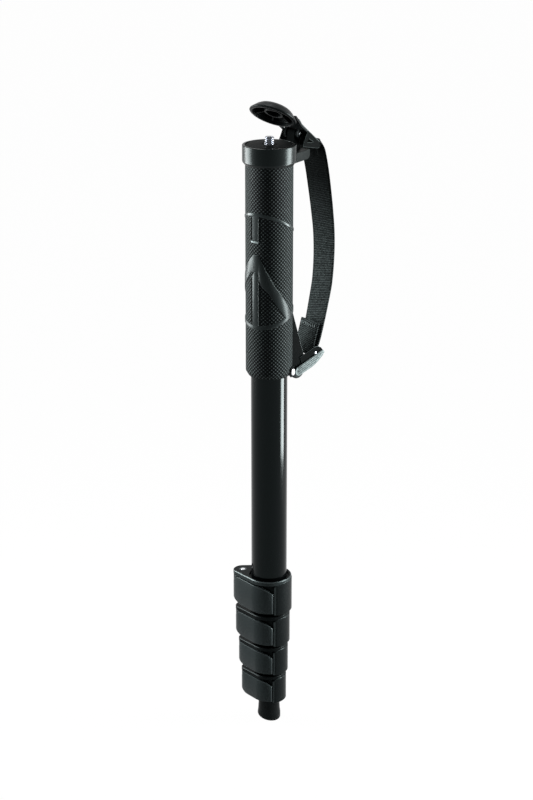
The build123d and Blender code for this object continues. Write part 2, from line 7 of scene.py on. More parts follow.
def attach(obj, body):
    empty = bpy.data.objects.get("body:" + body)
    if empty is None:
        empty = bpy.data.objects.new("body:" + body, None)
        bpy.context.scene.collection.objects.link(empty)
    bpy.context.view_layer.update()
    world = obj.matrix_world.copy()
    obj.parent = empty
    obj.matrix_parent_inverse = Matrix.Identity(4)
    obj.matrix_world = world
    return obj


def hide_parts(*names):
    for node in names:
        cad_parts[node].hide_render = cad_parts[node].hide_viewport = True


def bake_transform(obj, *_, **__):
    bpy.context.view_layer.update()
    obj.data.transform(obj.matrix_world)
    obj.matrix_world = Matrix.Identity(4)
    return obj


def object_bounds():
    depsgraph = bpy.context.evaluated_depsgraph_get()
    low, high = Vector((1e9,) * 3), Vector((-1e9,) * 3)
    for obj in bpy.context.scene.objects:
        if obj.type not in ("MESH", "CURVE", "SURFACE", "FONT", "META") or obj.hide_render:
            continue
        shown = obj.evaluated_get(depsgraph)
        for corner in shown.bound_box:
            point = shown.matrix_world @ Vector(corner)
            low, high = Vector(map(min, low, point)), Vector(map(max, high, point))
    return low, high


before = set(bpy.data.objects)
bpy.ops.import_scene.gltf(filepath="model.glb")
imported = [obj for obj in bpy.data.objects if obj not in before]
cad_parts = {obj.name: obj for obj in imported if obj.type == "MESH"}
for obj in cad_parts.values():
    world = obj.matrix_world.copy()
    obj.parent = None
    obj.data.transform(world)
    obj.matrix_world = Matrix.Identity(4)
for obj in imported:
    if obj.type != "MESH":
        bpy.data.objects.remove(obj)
cadLow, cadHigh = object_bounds()
mm = 0.001  # sizes below are in millimetres, meshes in metres
fullTurn = 2 * math.pi
tiny = 1e-6
nothing = 1e-9
print("frame loaded, CAD box", [round(v, 4) for v in (*cadLow, *cadHigh)])


class Field:
    # a shader socket that adds, subtracts, multiplies and divides like a number
    def __init__(self, tree, source=None):
        self.tree = tree
        self.source = source

    def node(self, kind, settings=None, values=None, result=0):
        made = self.tree.nodes.new(kind)
        for name, value in (settings or {}).items():
            setattr(made, name, value)
        for name, value in (values or {}).items():
            if isinstance(value, Field):
                self.tree.links.new(value.source, made.inputs[name])
            else:
                made.inputs[name].default_value = value
        return Field(self.tree, made.outputs[result])

    def output(self, name):
        # another output of this socket's own node
        return Field(self.tree, self.source.node.outputs[name])

    def maths(self, operation, first, second=0.0):
        return self.node("ShaderNodeMath", {"operation": operation}, {0: first, 1: second})

    def __add__(self, other):
        return self.maths("ADD", self, other)

    def __sub__(self, other):
        return self.maths("SUBTRACT", self, other)

    def __rsub__(self, other):
        return self.maths("SUBTRACT", other, self)

    def __mul__(self, other):
        return self.maths("MULTIPLY", self, other)

    def __truediv__(self, other):
        return self.maths("DIVIDE", self, other)

    __radd__ = __add__
    __rmul__ = __mul__

    def clamped(self):
        return self.node("ShaderNodeClamp", values={"Value": self})

    def wave(self):
        # one cosine wave for each whole number
        return self.maths("COSINE", self * fullTurn)

    def place(self):
        return self.node("ShaderNodeTexCoord", result="Object")

    def axes(self, vector):
        split = self.node("ShaderNodeSeparateXYZ", values={"Vector": vector})
        return [split.output(i) for i in range(3)]

    def combined(self, x, y, z):
        return self.node("ShaderNodeCombineXYZ", values={0: x, 1: y, 2: z})

    def noise(self, vector, scale, detail=3.0, roughness=0.55):
        return self.node("ShaderNodeTexNoise", values={
            "Vector": vector, "Scale": scale, "Detail": detail, "Roughness": roughness})

    def tints(self, mask, low, high):
        return self.node("ShaderNodeMix", {"data_type": "RGBA"}, {0: mask, 6: (*low, 1), 7: (*high, 1)},
                         result=2)

    def bump(self, height, depth):
        return self.node("ShaderNodeBump", values={"Height": height, "Distance": depth * mm, "Strength": 1.0})


coolTint = (0.78, 1.0, 1.0, 1)  # the gloss of all but bare metal


def makeMaterial(name, values, paint):
    made = bpy.data.materials.new(name)
    made.use_nodes = True
    shader = made.node_tree.nodes["Principled BSDF"]
    if "Metallic" not in values:
        shader.inputs["Specular Tint"].default_value = coolTint
    for socket, value in values.items():
        shader.inputs[socket].default_value = value
    for socket, field in paint(Field(made.node_tree)).items():
        made.node_tree.links.new(field.source, shader.inputs[socket])
    return made


grain = {"slow": 60, "fineShare": 0.4, "spread": 0.1}


def fineGrain(scale, depth, low, high, rough):
    # moulded or painted surface: fine grain in the bump, slow change in colour and roughness
    def paint(f):
        spot = f.place()
        fine = f.noise(spot, scale, 2.0)
        slow = f.noise(spot, grain["slow"])
        return {
            "Base Color": f.tints(slow * (1 - grain["fineShare"]) + fine * grain["fineShare"], low, high),
            "Roughness": rough - grain["spread"] / 2 + slow * grain["spread"],
            "Normal": f.bump(fine, depth),
        }
    return paint


knurl = {
    "around": 38, "rowHeight": 2.5, "sharpness": 4.5, "depth": 0.34, "grain": 2600, "wear": 45,
    # painted light and shade: pit is the colour painted into the knurl's pits, point the lighter colour painted
    # on its points
    "pit": (0.0001, 0.00012, 0.00012), "point": (0.05, 0.063, 0.063),
}


def knurled(f):
    spot = f.place()
    x, y, z = f.axes(spot)
    around = f.maths("ARCTAN2", y, x) * (knurl["around"] / fullTurn)
    up = z * (1000 / knurl["rowHeight"])
    weave = ((around + up).wave() + (around - up).wave()) * 0.25 + 0.5  # 0 in the pits, 1 on the points
    points = f.maths("POWER", weave, knurl["sharpness"])
    fine = f.noise(spot, knurl["grain"], 2.0)
    wear = f.noise(spot, knurl["wear"])
    return {
        # painted light and shade: the pits are painted near black and the points lighter, like glints, with the
        # wear noise varying the points at random
        "Base Color": f.tints((points * (0.75 + wear * 0.5)).clamped(), knurl["pit"], knurl["point"]),
        "Roughness": 0.6 - points * 0.25 + fine * 0.08,
        "Normal": f.bump(weave + fine * 0.04, knurl["depth"]),
    }


web = {
    "ribPitch": 1.15, "slant": 0.09, "patchAcross": 0.6, "patchContrast": 2.6, "selvage": 8.0, "depth": 0.4,
    "fuzz": 2200,
    # painted shade at the web's upper end: the height below which it lightens, how fast, and the darkest share
    # it keeps
    "paintedShadeBelow": 0.03, "paintedShadeRate": -18, "paintedShadeLeast": 0.08, "dark": (0.0003, 0.0004, 0.0004),
    "light": (0.034, 0.042, 0.042),
}


def webbing(f):
    # webPlace holds the millimetres across, along and through the web, so that the ribs bend with it
    across, along, through = f.axes(f.node("ShaderNodeAttribute", {"attribute_name": "webPlace"},
                                           result="Vector"))
    rib = (along / web["ribPitch"] - across * web["slant"]).wave() * 0.5 + 0.5
    dashes = f.noise(f.combined(across * web["patchAcross"], along, through), 1.0, 1.0, 0.5)
    fuzz = f.noise(f.place(), web["fuzz"], 4.0, 0.7)
    patch = ((dashes - 0.5) * web["patchContrast"] + 0.55).clamped()
    height = rib * (patch * 0.75 + 0.3) + patch * 0.12
    border = f.maths("GREATER_THAN", f.maths("ABSOLUTE", across), web["selvage"])
    # painted shade: the upper end is painted dark, and the web grows lighter from the hinge downwards
    low = ((f.axes(f.place())[2] + web["paintedShadeBelow"]) * web["paintedShadeRate"]).clamped()
    paintedTopShade = low * (1 - web["paintedShadeLeast"]) + web["paintedShadeLeast"]
    # painted light and shade: the colour follows the rib height, with the crests lighter and the hollows
    # between them darker; the patches and fuzz vary it at random
    shade = (paintedTopShade * height * (0.55 + fuzz * 0.9) - border * 0.1).clamped()
    return {
        "Base Color": f.tints(shade, web["dark"], web["light"]),
        "Roughness": 0.72 + fuzz * 0.15,
        "Normal": f.bump(height + fuzz * 0.2, web["depth"]),
    }


bright = {"scale": 900, "stretch": 3.0, "turned": 0.002, "dark": (0.2, 0.22, 0.25), "light": (0.36, 0.38, 0.41)}


def brushed(f):
    # turned steel: fine streaks around the axis
    x, y, z = f.axes(f.place())
    streak = f.noise(f.combined(f.maths("ARCTAN2", y, x) * bright["turned"], z * bright["stretch"], x),
                     bright["scale"])
    return {"Base Color": f.tints(streak, bright["dark"], bright["light"]), "Roughness": 0.12 + streak * 0.12}


drawn = {"scale": 1400, "squash": 0.02, "slow": 30, "dark": (0.0004, 0.0005, 0.0006),
         "light": (0.001, 0.0012, 0.0013)}


def anodised(f):
    # drawn tube: streaks along its length under a low gloss
    spot = f.place()
    x, y, z = f.axes(spot)
    streak = f.noise(f.combined(x, y, z * drawn["squash"]), drawn["scale"])
    slow = f.noise(spot, drawn["slow"], 2.0)
    return {
        "Base Color": f.tints(streak * 0.5 + slow * 0.5, drawn["dark"], drawn["light"]),
        "Roughness": 0.09 + streak * 0.05 + slow * 0.03,
        "Normal": f.bump(streak, 0.01),
    }


bareMetal = {"Metallic": 1.0}
finish = {
    "steel": makeMaterial("steel", bareMetal, brushed),
    "webbing": makeMaterial("webbing", {"Specular IOR Level": 0.015}, webbing),
    "gripKnurl": makeMaterial("gripKnurl", {"Specular IOR Level": 0.035}, knurled),
    "anodised": makeMaterial("anodised", {"Specular IOR Level": 0.11}, anodised),
}
grained = {
    # specular level (none for bare metal), grains per metre, bump depth, darkest, lightest, roughness
    "collarPaint": (0.1, 2400, 0.03, (0.0018, 0.0023, 0.0023), (0.0034, 0.0044, 0.0044), 0.26),
    "tonguePaint": (0.036, 2400, 0.03, (0.0022, 0.0028, 0.0028), (0.004, 0.005, 0.005), 0.34),
    "knuckleBlack": (0.005, 2200, 0.04, (0.001, 0.0012, 0.0012), (0.002, 0.0025, 0.0025), 0.45),
    "dullSteel": (None, 1500, 0.02, (0.10, 0.11, 0.115), (0.15, 0.165, 0.17), 0.4),
    "padRubber": (0.03, 1500, 0.05, (0.0015, 0.0018, 0.0018), (0.003, 0.0035, 0.0035), 0.6),
    "pinSteel": (None, 1500, 0.02, (0.62, 0.64, 0.66), (0.8, 0.81, 0.83), 0.3),
    # painted shade: near black for the strips beside the bars, where the groove lies in shade
    "paintedGrooveShade": (0.0, 1500, 0.03, (0.0003, 0.0004, 0.0004), (0.0008, 0.001, 0.001), 0.8),
    # painted highlight: a lighter rubber colour for thin light lines along band edges, ridges, the cap's beads
    # and its near lip
    "paintedLightLine": (0.14, 1500, 0.03, (0.016, 0.02, 0.02), (0.026, 0.032, 0.032), 0.4),
    "innerPlastic": (0.3, 1500, 0.03, (0.02, 0.021, 0.022), (0.04, 0.041, 0.042), 0.55),
    "capPlastic": (0.05, 2200, 0.05, (0.0016, 0.002, 0.0021), (0.003, 0.0036, 0.0038), 0.3),
    "thread": (0.3, 4000, 0.05, (0.05, 0.06, 0.06), (0.09, 0.11, 0.11), 0.6),
    "gripBand": (0.1, 2000, 0.04, (0.005, 0.0064, 0.0064), (0.0085, 0.0108, 0.0108), 0.36),
    "bandGloss": (0.12, 2000, 0.03, (0.008, 0.01, 0.01), (0.014, 0.0175, 0.0175), 0.26),
    # painted highlight: a light grey for the bright lower edge of the upper bar
    "paintedTickHighlight": (0.3, 2000, 0.03, (0.09, 0.11, 0.11), (0.14, 0.17, 0.17), 0.4),
    # painted highlight: the buckle's black side plates painted grey
    "paintedBuckleHighlight": (0.18, 1800, 0.05, (0.04, 0.05, 0.05), (0.06, 0.075, 0.075), 0.38),
    "footRubber": (0.05, 1800, 0.05, (0.0015, 0.0018, 0.0018), (0.0035, 0.004, 0.004), 0.35),
    "lockPlastic": (0.07, 2600, 0.05, (0.0066, 0.0085, 0.0088), (0.0122, 0.0157, 0.0163), 0.3),
    # painted shade: a darker copy of the lock plastic for the locks' side walls and the lower locks' plate rims
    "stripPlastic": (0.05, 2600, 0.04, (0.0018, 0.0023, 0.0024), (0.0036, 0.0046, 0.0048), 0.32),
    "lockDark": (0.04, 2600, 0.04, (0.001, 0.0012, 0.0013), (0.002, 0.0025, 0.0027), 0.36),
    # painted highlight: a glossier, lighter copy of the dark plastics for thin bright edges
    "paintedEdgeHighlight": (0.22, 2600, 0.03, (0.006, 0.0075, 0.008), (0.016, 0.02, 0.021), 0.3),
}
for name, (specular, *look) in grained.items():
    gloss = bareMetal if specular is None else {"Specular IOR Level": specular}
    finish[name] = makeMaterial(name, gloss, fineGrain(*look))
print("materials made")

view = {"place": (-0.9942, -0.6313, 0.2394), "heading": 57.5, "down": 19.2, "lens": 85.05, "sensor": 36.0}


def makeCamera():
    data = bpy.data.cameras.new("photoCamera")
    data.lens, data.sensor_width, data.sensor_fit = view["lens"], view["sensor"], "AUTO"
    data.clip_start, data.clip_end = 0.05, 60
    camera = bpy.data.objects.new("photoCamera", data)
    bpy.context.scene.collection.objects.link(camera)
    heading, down = math.radians(view["heading"]), math.radians(view["down"])
    ahead = Vector((math.sin(heading) * math.cos(down), math.cos(heading) * math.cos(down), -math.sin(down)))
    camera.location = view["place"]
    camera.rotation_mode = "QUATERNION"
    camera.rotation_quaternion = ahead.to_track_quat("-Z", "Y")
    bpy.context.scene.camera = camera


cameraAzimuth = 212.4  # direction from the part towards the camera
lamps = {
    # side is the angle from the camera's direction, positive towards the right of the picture
    "leftBox": {"side": -103, "height": -0.04, "away": 0.46, "size": (0.28, 0.46), "watts": 12.0},
    "rightBox": {"side": 92, "height": -0.1, "away": 0.46, "size": (0.2, 0.6), "watts": 16.0},
    "topBox": {"side": -165, "height": 1.2, "away": 0.5, "size": (0.8, 0.6), "watts": 16.0},
}
studio = {
    "aimHeight": -0.2, "ambient": (0.16, 0.16, 0.16), "white": (1, 1, 1), "paper": (0.35, 0.35, 0.35),
    "paperRoughness": 0.9, "paperSpecular": 0.1, "glow": 0.985, "floorHalf": 9, "floorDrop": 0.0002,
}


def makeLamps():
    for name, lamp in lamps.items():
        data = bpy.data.lights.new(name, "AREA")
        data.shape = "RECTANGLE"
        data.size, data.size_y = lamp["size"]
        data.energy = lamp["watts"]
        made = bpy.data.objects.new(name, data)
        turn = math.radians(cameraAzimuth + lamp["side"])
        made.location = (lamp["away"] * math.cos(turn), lamp["away"] * math.sin(turn), lamp["height"])
        aim = Vector((0, 0, studio["aimHeight"])) - made.location
        if lamp["height"] < 0:
            aim.z = 0  # the side lamps stand upright
        made.rotation_mode = "QUATERNION"
        made.rotation_quaternion = aim.to_track_quat("-Z", "Y")
        bpy.context.scene.collection.objects.link(made)


def seenRays(f):
    # 1 for what the camera, a reflection or glass sees, 0 for the light that falls on the part
    seen = f.node("ShaderNodeLightPath", result="Is Camera Ray")
    return (seen + seen.output("Is Glossy Ray") + seen.output("Is Transmission Ray")).clamped()


def makeWorld():
    world = bpy.data.worlds.new("studio")
    bpy.context.scene.world = world
    world.use_nodes = True
    f = Field(world.node_tree)
    tone = f.tints(seenRays(f), studio["ambient"], studio["white"])
    world.node_tree.links.new(tone.source, world.node_tree.nodes["Background"].inputs["Color"])


def makeFloor():
    mesh = bpy.data.meshes.new("floor")
    half, low = studio["floorHalf"], cadLow.z - studio["floorDrop"]
    corners = [(-half, -half, low), (half, -half, low), (half, half, low), (-half, half, low)]
    mesh.from_pydata(corners, [], [(0, 1, 2, 3)])
    floor = bpy.data.objects.new("floor", mesh)
    bpy.context.scene.collection.objects.link(floor)
    material = bpy.data.materials.new("floorPaper")
    material.use_nodes = True
    tree = material.node_tree
    f = Field(tree)
    shader = tree.nodes["Principled BSDF"]
    shader.inputs["Base Color"].default_value = (*studio["paper"], 1)
    shader.inputs["Roughness"].default_value = studio["paperRoughness"]
    shader.inputs["Specular IOR Level"].default_value = studio["paperSpecular"]
    glow = f.node("ShaderNodeEmission", values={"Color": (*studio["white"], 1), "Strength": 1.0})
    paper = Field(tree, shader.outputs[0])
    mixed = f.node("ShaderNodeMixShader", values={0: seenRays(f) * studio["glow"], 1: paper, 2: glow})
    tree.links.new(mixed.source, tree.nodes["Material Output"].inputs["Surface"])
    mesh.materials.append(material)


makeCamera()
makeLamps()
makeWorld()
makeFloor()
bpy.context.scene.view_settings.view_transform = "Standard"
print("camera and studio made")


def area(outline):
    return sum(outline[i - 1][0] * p[1] - p[0] * outline[i - 1][1] for i, p in enumerate(outline)) / 2


def counted(outline):
    # the outline running anticlockwise
    return outline if area(outline) > 0 else outline[::-1]


def softCorners(points, steps=4):
    # points are (a, b) or (a, b, radius); each corner with a radius becomes a curve
    out = []
    for i, point in enumerate(points):
        radius = point[2] if len(point) > 2 else 0
        here = Vector(point[:2])
        before = Vector(points[i - 1][:2]) - here
        after = Vector(points[(i + 1) % len(points)][:2]) - here
        if radius <= 0 or before.length < tiny or after.length < tiny:
            out.append(tuple(here))
            continue
        half = before.angle(after) / 2
        reach = min(radius / math.tan(half), before.length * 0.49, after.length * 0.49)
        start, stop = here + before.normalized() * reach, here + after.normalized() * reach
        for k in range(steps + 1):
            t = k / steps
            out.append(tuple(start * (1 - t) ** 2 + here * (2 * t * (1 - t)) + stop * t ** 2))
    return out


def inset(outline, depth):
    # an anticlockwise outline moved inwards by depth
    out = []
    for i, point in enumerate(outline):
        here = Vector(point)
        along = here - Vector(outline[i - 1])
        onward = Vector(outline[(i + 1) % len(outline)]) - here
        if along.length < nothing or onward.length < nothing:
            along = onward = along if along.length > onward.length else onward
        first = Vector((-along.y, along.x)).normalized()
        second = Vector((-onward.y, onward.x)).normalized()
        middle = first + second
        if middle.length < tiny:
            middle = first
        middle.normalize()
        out.append(tuple(here + middle * (depth / max(middle.dot(first), 0.5))))
    return out


def radial(outline, centre, count):
    # the outline sampled at even angles about a centre inside it
    out = []
    for k in range(count):
        turn = fullTurn * k / count
        ray = Vector((math.cos(turn), math.sin(turn)))
        best = 0.0
        for i, point in enumerate(outline):
            start = Vector(outline[i - 1]) - centre
            side = Vector(point) - centre - start
            cross = ray.x * side.y - ray.y * side.x
            if abs(cross) < nothing:
                continue
            reach = (start.x * side.y - start.y * side.x) / cross
            share = (start.x * ray.y - start.y * ray.x) / cross
            if reach > best and -tiny <= share <= 1 + tiny:
                best = reach
        out.append(tuple(centre + ray * best))
    return out


def hermite(a, b, slopeA, slopeB, t):
    return ((2 * t ** 3 - 3 * t ** 2 + 1) * a + (t ** 3 - 2 * t ** 2 + t) * slopeA
            + (3 * t ** 2 - 2 * t ** 3) * b + (t ** 3 - t ** 2) * slopeB)


def smoothAlong(places, values, x):
    # the value at x on a smooth line through the given places and values
    for i in range(len(places) - 1):
        if x <= places[i + 1]:
            t = max(0.0, (x - places[i]) / (places[i + 1] - places[i]))
            before, after = values[max(0, i - 1)], values[min(len(values) - 1, i + 2)]
            a, b = values[i], values[i + 1]
            slopeA = (b - before) / 2 if i else b - a
            slopeB = (after - a) / 2 if i + 2 < len(values) else b - a
            return hermite(a, b, slopeA, slopeB, t)
    return values[-1]


def spread(start, span, count):
    return [start + span * k / count for k in range(count + 1)]


def around(radius, azimuth, z):
    # a point at this distance from the tube's axis; azimuth in degrees
    turn = math.radians(azimuth)
    return (radius * math.cos(turn), radius * math.sin(turn), z)


def turned(azimuth):
    return Matrix.Rotation(math.radians(azimuth), 4, "Z")


def acrossY(x=0, z=0):
    # takes a flat outline (a, b) at height c to (a, c, b)
    return Matrix(((1, 0, 0, x), (0, 0, 1, 0), (0, 1, 0, z), (0, 0, 0, 1)))


class Shells:
    # gathers closed shells, then builds one object from them
    def __init__(self):
        self.points, self.faces, self.slots, self.notes = [], [], [], []

    def loft(self, rings, slot=0, wrap=False, caps=True, move=None, notes=None):
        # slot is a number, or a function of ring and side that gives one
        def slotAt(i, j):
            return slot(i, j) if callable(slot) else slot

        start, width, count = len(self.points), len(rings[0]), len(rings)
        for i, ring in enumerate(rings):
            for j, point in enumerate(ring):
                self.points.append(move @ Vector(point) if move else Vector(point))
                self.notes.append(notes[i][j] if notes else (0, 0, 0))
        for i in range(count if wrap else count - 1):
            a, b = start + i * width, start + ((i + 1) % count) * width
            for j in range(width):
                k = (j + 1) % width
                self.faces.append((a + j, a + k, b + k, b + j))
                self.slots.append(slotAt(i, j))
        if caps and not wrap:
            last = start + (count - 1) * width
            self.faces += [tuple(range(start, start + width)), tuple(range(last, last + width))]
            self.slots += [slotAt(0, -1)] * 2

    def lathe(self, profile, count=96, slot=0, move=None):
        rings = []
        for k in range(count):
            turn = fullTurn * k / count
            rings.append([(r * math.cos(turn), r * math.sin(turn), z) for r, z in profile])
        self.loft(rings, slot, wrap=True, move=move)

    def plate(self, outline, low, high, edge=0.3, slot=0, move=None, rim=None, steps=3):
        # both faces have a slim bevelled lip, which rim gives a slot of its own
        def lipOrFace(i, j):
            return rim if j >= 0 and i != steps else slot

        rings = [[(x, y, low) for x, y in inset(outline, edge)]]
        for k in range(1, steps + 1):
            turn = math.pi / 2 * k / steps
            lip = inset(outline, edge * (1 - math.cos(turn)))
            rings.append([(x, y, low + edge * (1 - math.sin(turn))) for x, y in lip])
        upper = [[(x, y, high + low - z) for x, y, z in ring] for ring in reversed(rings)]
        self.loft(rings + upper, slot if rim is None else lipOrFace, move=move)

    def holed(self, outer, inner, low, high, edge, slot=0, move=None, bands=None):
        # a plate with a hole: both outlines have as many points; bands gives some of its sides a slot
        def band(i, j):
            return (bands or {}).get(j, slot)

        rings = []
        outerIn, innerOut = inset(outer, edge), inset(inner, -edge)
        for k in range(len(outer)):
            rings.append([
                (*outerIn[k], low), (*outer[k], low + edge), (*outer[k], high - edge), (*outerIn[k], high),
                (*innerOut[k], high), (*inner[k], high - edge), (*inner[k], low + edge), (*innerOut[k], low)])
        self.loft(rings, band, wrap=True, move=move)

    def rod(self, start, stop, radius, edge=0.2, dome=0.0, count=32):
        start, along = Vector(start), Vector(stop) - Vector(start)
        length = along.length
        turn = along.to_track_quat("Z", "Y").to_matrix().to_4x4()
        turn.translation = start
        half = [(0, -dome), (radius * 0.5, -dome * 0.75), (radius - edge, 0), (radius, edge)]
        self.lathe(half + [(r, length - z) for r, z in reversed(half)], count, move=turn)

    def build(self, name, materials, sharp=32, move=None):
        mesh = bpy.data.meshes.new(name)
        mesh.from_pydata([tuple((move @ p if move else p) * mm) for p in self.points], [], self.faces)
        for material in materials:
            mesh.materials.append(finish[material])
        note = mesh.attributes.new("webPlace", "FLOAT_VECTOR", "POINT")
        for i, value in enumerate(self.notes):
            note.data[i].vector = value
        for face, slot in zip(mesh.polygons, self.slots):
            face.material_index = slot
        work = bmesh.new()
        work.from_mesh(mesh)
        bmesh.ops.remove_doubles(work, verts=work.verts, dist=2e-7)
        bmesh.ops.dissolve_degenerate(work, edges=work.edges, dist=1e-7)
        bmesh.ops.recalc_face_normals(work, faces=work.faces)
        for face in work.faces:
            face.smooth = True
        work.to_mesh(mesh)
        work.free()
        mesh.set_sharp_from_angle(angle=math.radians(sharp))
        made = bpy.data.objects.new(name, mesh)
        bpy.context.scene.collection.objects.link(made)
        return made


def settle(piece, body, nodes):
    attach(piece, body)
    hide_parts(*nodes)


collar = {
    "radius": 17.25, "rim": 1.6, "height": 12.5, "straight": 10.7, "foot": 15.75, "bore": 12.6, "seat": -1.7,
    "step": -1.0,
    "tongueEnd": 36.6, "tongueHalf": 8.3, "tongueTop": -8.2, "tongueLow": -14.7,
    "lowCorner": 3.8, "topCorner": 1.2, "sideCorner": 0.9, "tongueEdge": 0.7,
    # how far from the axis, and how much the tongue still flares there; then the plain sections
    "flare": [(13.0, 3.4), (14.6, 2.2), (15.6, 1.3), (16.6, 0.7), (17.6, 0.3), (18.8, 0.06)],
    "run": [20, 24, 28, 31.6, 32.8, 33.9, 34.9, 35.6, 36.1, 36.45, 36.6],
    "hinge": (28.3, 2.5), "postRadius": 3.2, "postHalf": 3.2, "postEdge": 0.3,
    # the first point is measured from the hinge, the others from the tongue
    "postSide": [(3.5, -2.5), (3.9, 2.2), (4.6, 0.8), (5.6, 0)],
}
pad = {"profile": [(0, 0), (4.4, 0, 0.1), (4.7, -0.25, 0.1), (5.0, 0, 0.1), (14.4, 0, 0.4), (15.03, -0.7, 0.2),
                   (15.03, -1.6), (0, -1.6)]}
screw = {
    "crest": 3.175, "root": 2.4, "pitch": 1.27, "proud": 5.0, "below": 3.0, "around": 56, "perTurn": 14,
    "flat": 1.32, "flank": 2.9, "tip": 2.3, "tipRing": 2.1, "tipRise": 0.02,
    "shank": [(0, -12), (2.6, -12), (2.6, -2.8), (6.0, -2.8), (6.0, -1.6), (2.6, -1.6), (0, -1.6)],
}


def fallenAway(x, end, radius):
    # how far a rounded corner has fallen away at x, just before its end
    share = max(0.0, x - (end - radius)) / radius
    return radius * (1 - math.sqrt(max(0.0, 1 - share ** 2)))


def tongueRings():
    rings, edge = [], collar["tongueEdge"]
    for x, grow in collar["flare"] + [(x, 0) for x in collar["run"]]:
        low = collar["tongueLow"] + fallenAway(x, collar["tongueEnd"], collar["lowCorner"]) - grow * 0.1
        high = collar["tongueTop"] - fallenAway(x, collar["tongueEnd"], collar["topCorner"]) + grow * 0.35
        half = collar["tongueHalf"] + grow * 0.55 - fallenAway(x, collar["tongueEnd"], collar["sideCorner"])
        section = softCorners([
            (-half, low, edge), (half, low, edge), (half, high, edge), (-half, high, edge)], 3)
        rings.append([(x, y, z) for y, z in section])
    return rings


def buildCollar():
    s = Shells()
    radius, foot, seat, step = collar["radius"], -collar["height"], collar["seat"], collar["step"]
    rim = radius - collar["rim"]
    s.lathe(softCorners([
        (rim, step), (rim, 0, 0.25), (radius, 0, 0.55), (radius, -collar["straight"], 1.6),
        (collar["foot"], foot, 0.3), (collar["bore"], foot), (collar["bore"], seat), (rim - 0.6, seat),
        (rim - 0.6, step)]), 128)
    s.loft(tongueRings(), slot=1)
    x, z = collar["hinge"]
    knuckle = collar["postRadius"]
    outline = [(knuckle * math.cos(turn), knuckle * math.sin(turn)) for turn in spread(0, math.pi, 20)]
    root = collar["tongueTop"] - 0.4 - z
    first, *rest = collar["postSide"]
    side = [first] + [(a, root + b) for a, b in rest]
    outline += [(-a, b) for a, b in side] + side[::-1]
    s.plate(outline, -collar["postHalf"], collar["postHalf"], collar["postEdge"], slot=2, move=acrossY(x, z))
    piece = s.build("collar", ["collarPaint", "tonguePaint", "knuckleBlack"])
    settle(piece, "handle", ["top_collar"])


def buildPad():
    s = Shells()
    s.lathe(softCorners(pad["profile"]))
    settle(s.build("pad", ["padRubber"]), "handle", ["top_pad"])


def threadRadius(turn, z):
    # the helix at this angle and height, cut down to the cone of the tip
    phase = (z / screw["pitch"] - turn / fullTurn) % 1.0
    rise = min(1.0, max(0.0, screw["flat"] - abs(phase - 0.5) * screw["flank"]))
    return min(screw["root"] + (screw["crest"] - screw["root"]) * rise, screw["tip"] + screw["proud"] - z)


def buildScrew():
    s = Shells()
    count, below, proud = screw["around"], screw["below"], screw["proud"]
    step = screw["pitch"] / screw["perTurn"]
    turns = [fullTurn * k / count for k in range(count)]
    rings = [[(0, 0, -below - step)] * count]
    for i in range(int((proud + below) / step) + 1):
        z = -below + i * step
        rings.append([(threadRadius(t, z) * math.cos(t), threadRadius(t, z) * math.sin(t), z) for t in turns])
    rings.append([(screw["tipRing"] * math.cos(t), screw["tipRing"] * math.sin(t), proud) for t in turns])
    rings.append([(0, 0, proud + screw["tipRise"])] * count)
    s.loft(rings, caps=False)
    s.lathe(screw["shank"], 48)
    settle(s.build("cameraScrew", ["steel"], 40), "handle", ["camera_screw"])


buildCollar()
buildPad()
buildScrew()
print("collar, pad and screw made")

cap = {
    "open": 34.0, "hinge": (28.3, 2.5), "barReach": 20.6, "barAngle": 8.7, "barRadius": 1.3,
    "disc": [(0, 5.6), (9.6, 5.6, 1.0), (13.3, 3.1, 0.6), (13.5, 0.5, 0.15), (14.6, 0.5, 0.3),
             (15.45, 0.95, 0.25), (15.35, 1.7, 0.4), (14.0, 3.2, 1.5), (12.2, 5.15, 1.5), (10.6, 6.3, 0.4),
             (10.2, 6.6, 0.15), (9.7, 6.8, 0.25),
             (9.0, 6.95, 0.6), (0, 7.1)],
    "socket": [(4.95, 6), (4.95, 2.6, 0.2), (6.2, 2.6, 0.3), (6.2, 6)],
    "spoke": [(5.9, 3.6), (13.5, 1.5), (13.5, 3.6), (9.6, 5.9), (5.9, 5.9)], "spokeHalf": 0.5, "spokes": 6,
    "firstSpoke": 30,
    "arm": [(7.0, 0), (7.0, 12.4), (14, 11.2, 3), (21.0, 9.6, 4), (38.2, 9.6, 0.5), (38.2, 3.5, 0.5),
            (28.3, 3.5, 0.3), (24.6, 3.5, 0.3), (24.6, 0)],
    "armTop": 5.9, "armThick": 1.5,
    "bead": [(13.2, 10.9, 6.0), (17, 10.1, 5.98), (21, 9.15, 5.9), (30, 9.0, 5.9), (40, 9.0, 5.95),
             (47.5, 9.0, 6.0)],
    "beadRadius": 0.42, "railInner": 8.4, "railOuter": 9.6,
    "screen": [(33.2, 3.6), (34.4, 3.6), (34.4, 9.0), (33.2, 9.0)], "screenLow": -2.4, "screenTop": 5.6,
    "cheekRadius": 3.4, "cheekInner": 3.5, "cheekOuter": 5.2, "cheekTop": [(3.6, 3.2), (-3.6, 3.2)],
    "cover": [(22.6, 5.6), (24.4, 5.6), (24.9, 6.02), (30.2, 6.02), (30.2, 6.35), (23.0, 6.35)],
    "coverHalf": 4.2,
    "eye": [(32.6, -1.1, 0.6), (41.5, 2.7, 0.7), (34.1, 2.0, 0.6)], "eyeCentre": (35.6, 1.2),
    "pinHalf": 5.5, "pinRadius": 1.25,
}


def barPlace(opening=0.0):
    # the end bar's centre, with the cap as it is modelled or turned open
    turn = math.radians(cap["barAngle"] - opening)
    x, z = cap["hinge"]
    return x + cap["barReach"] * math.cos(turn), z + cap["barReach"] * math.sin(turn)


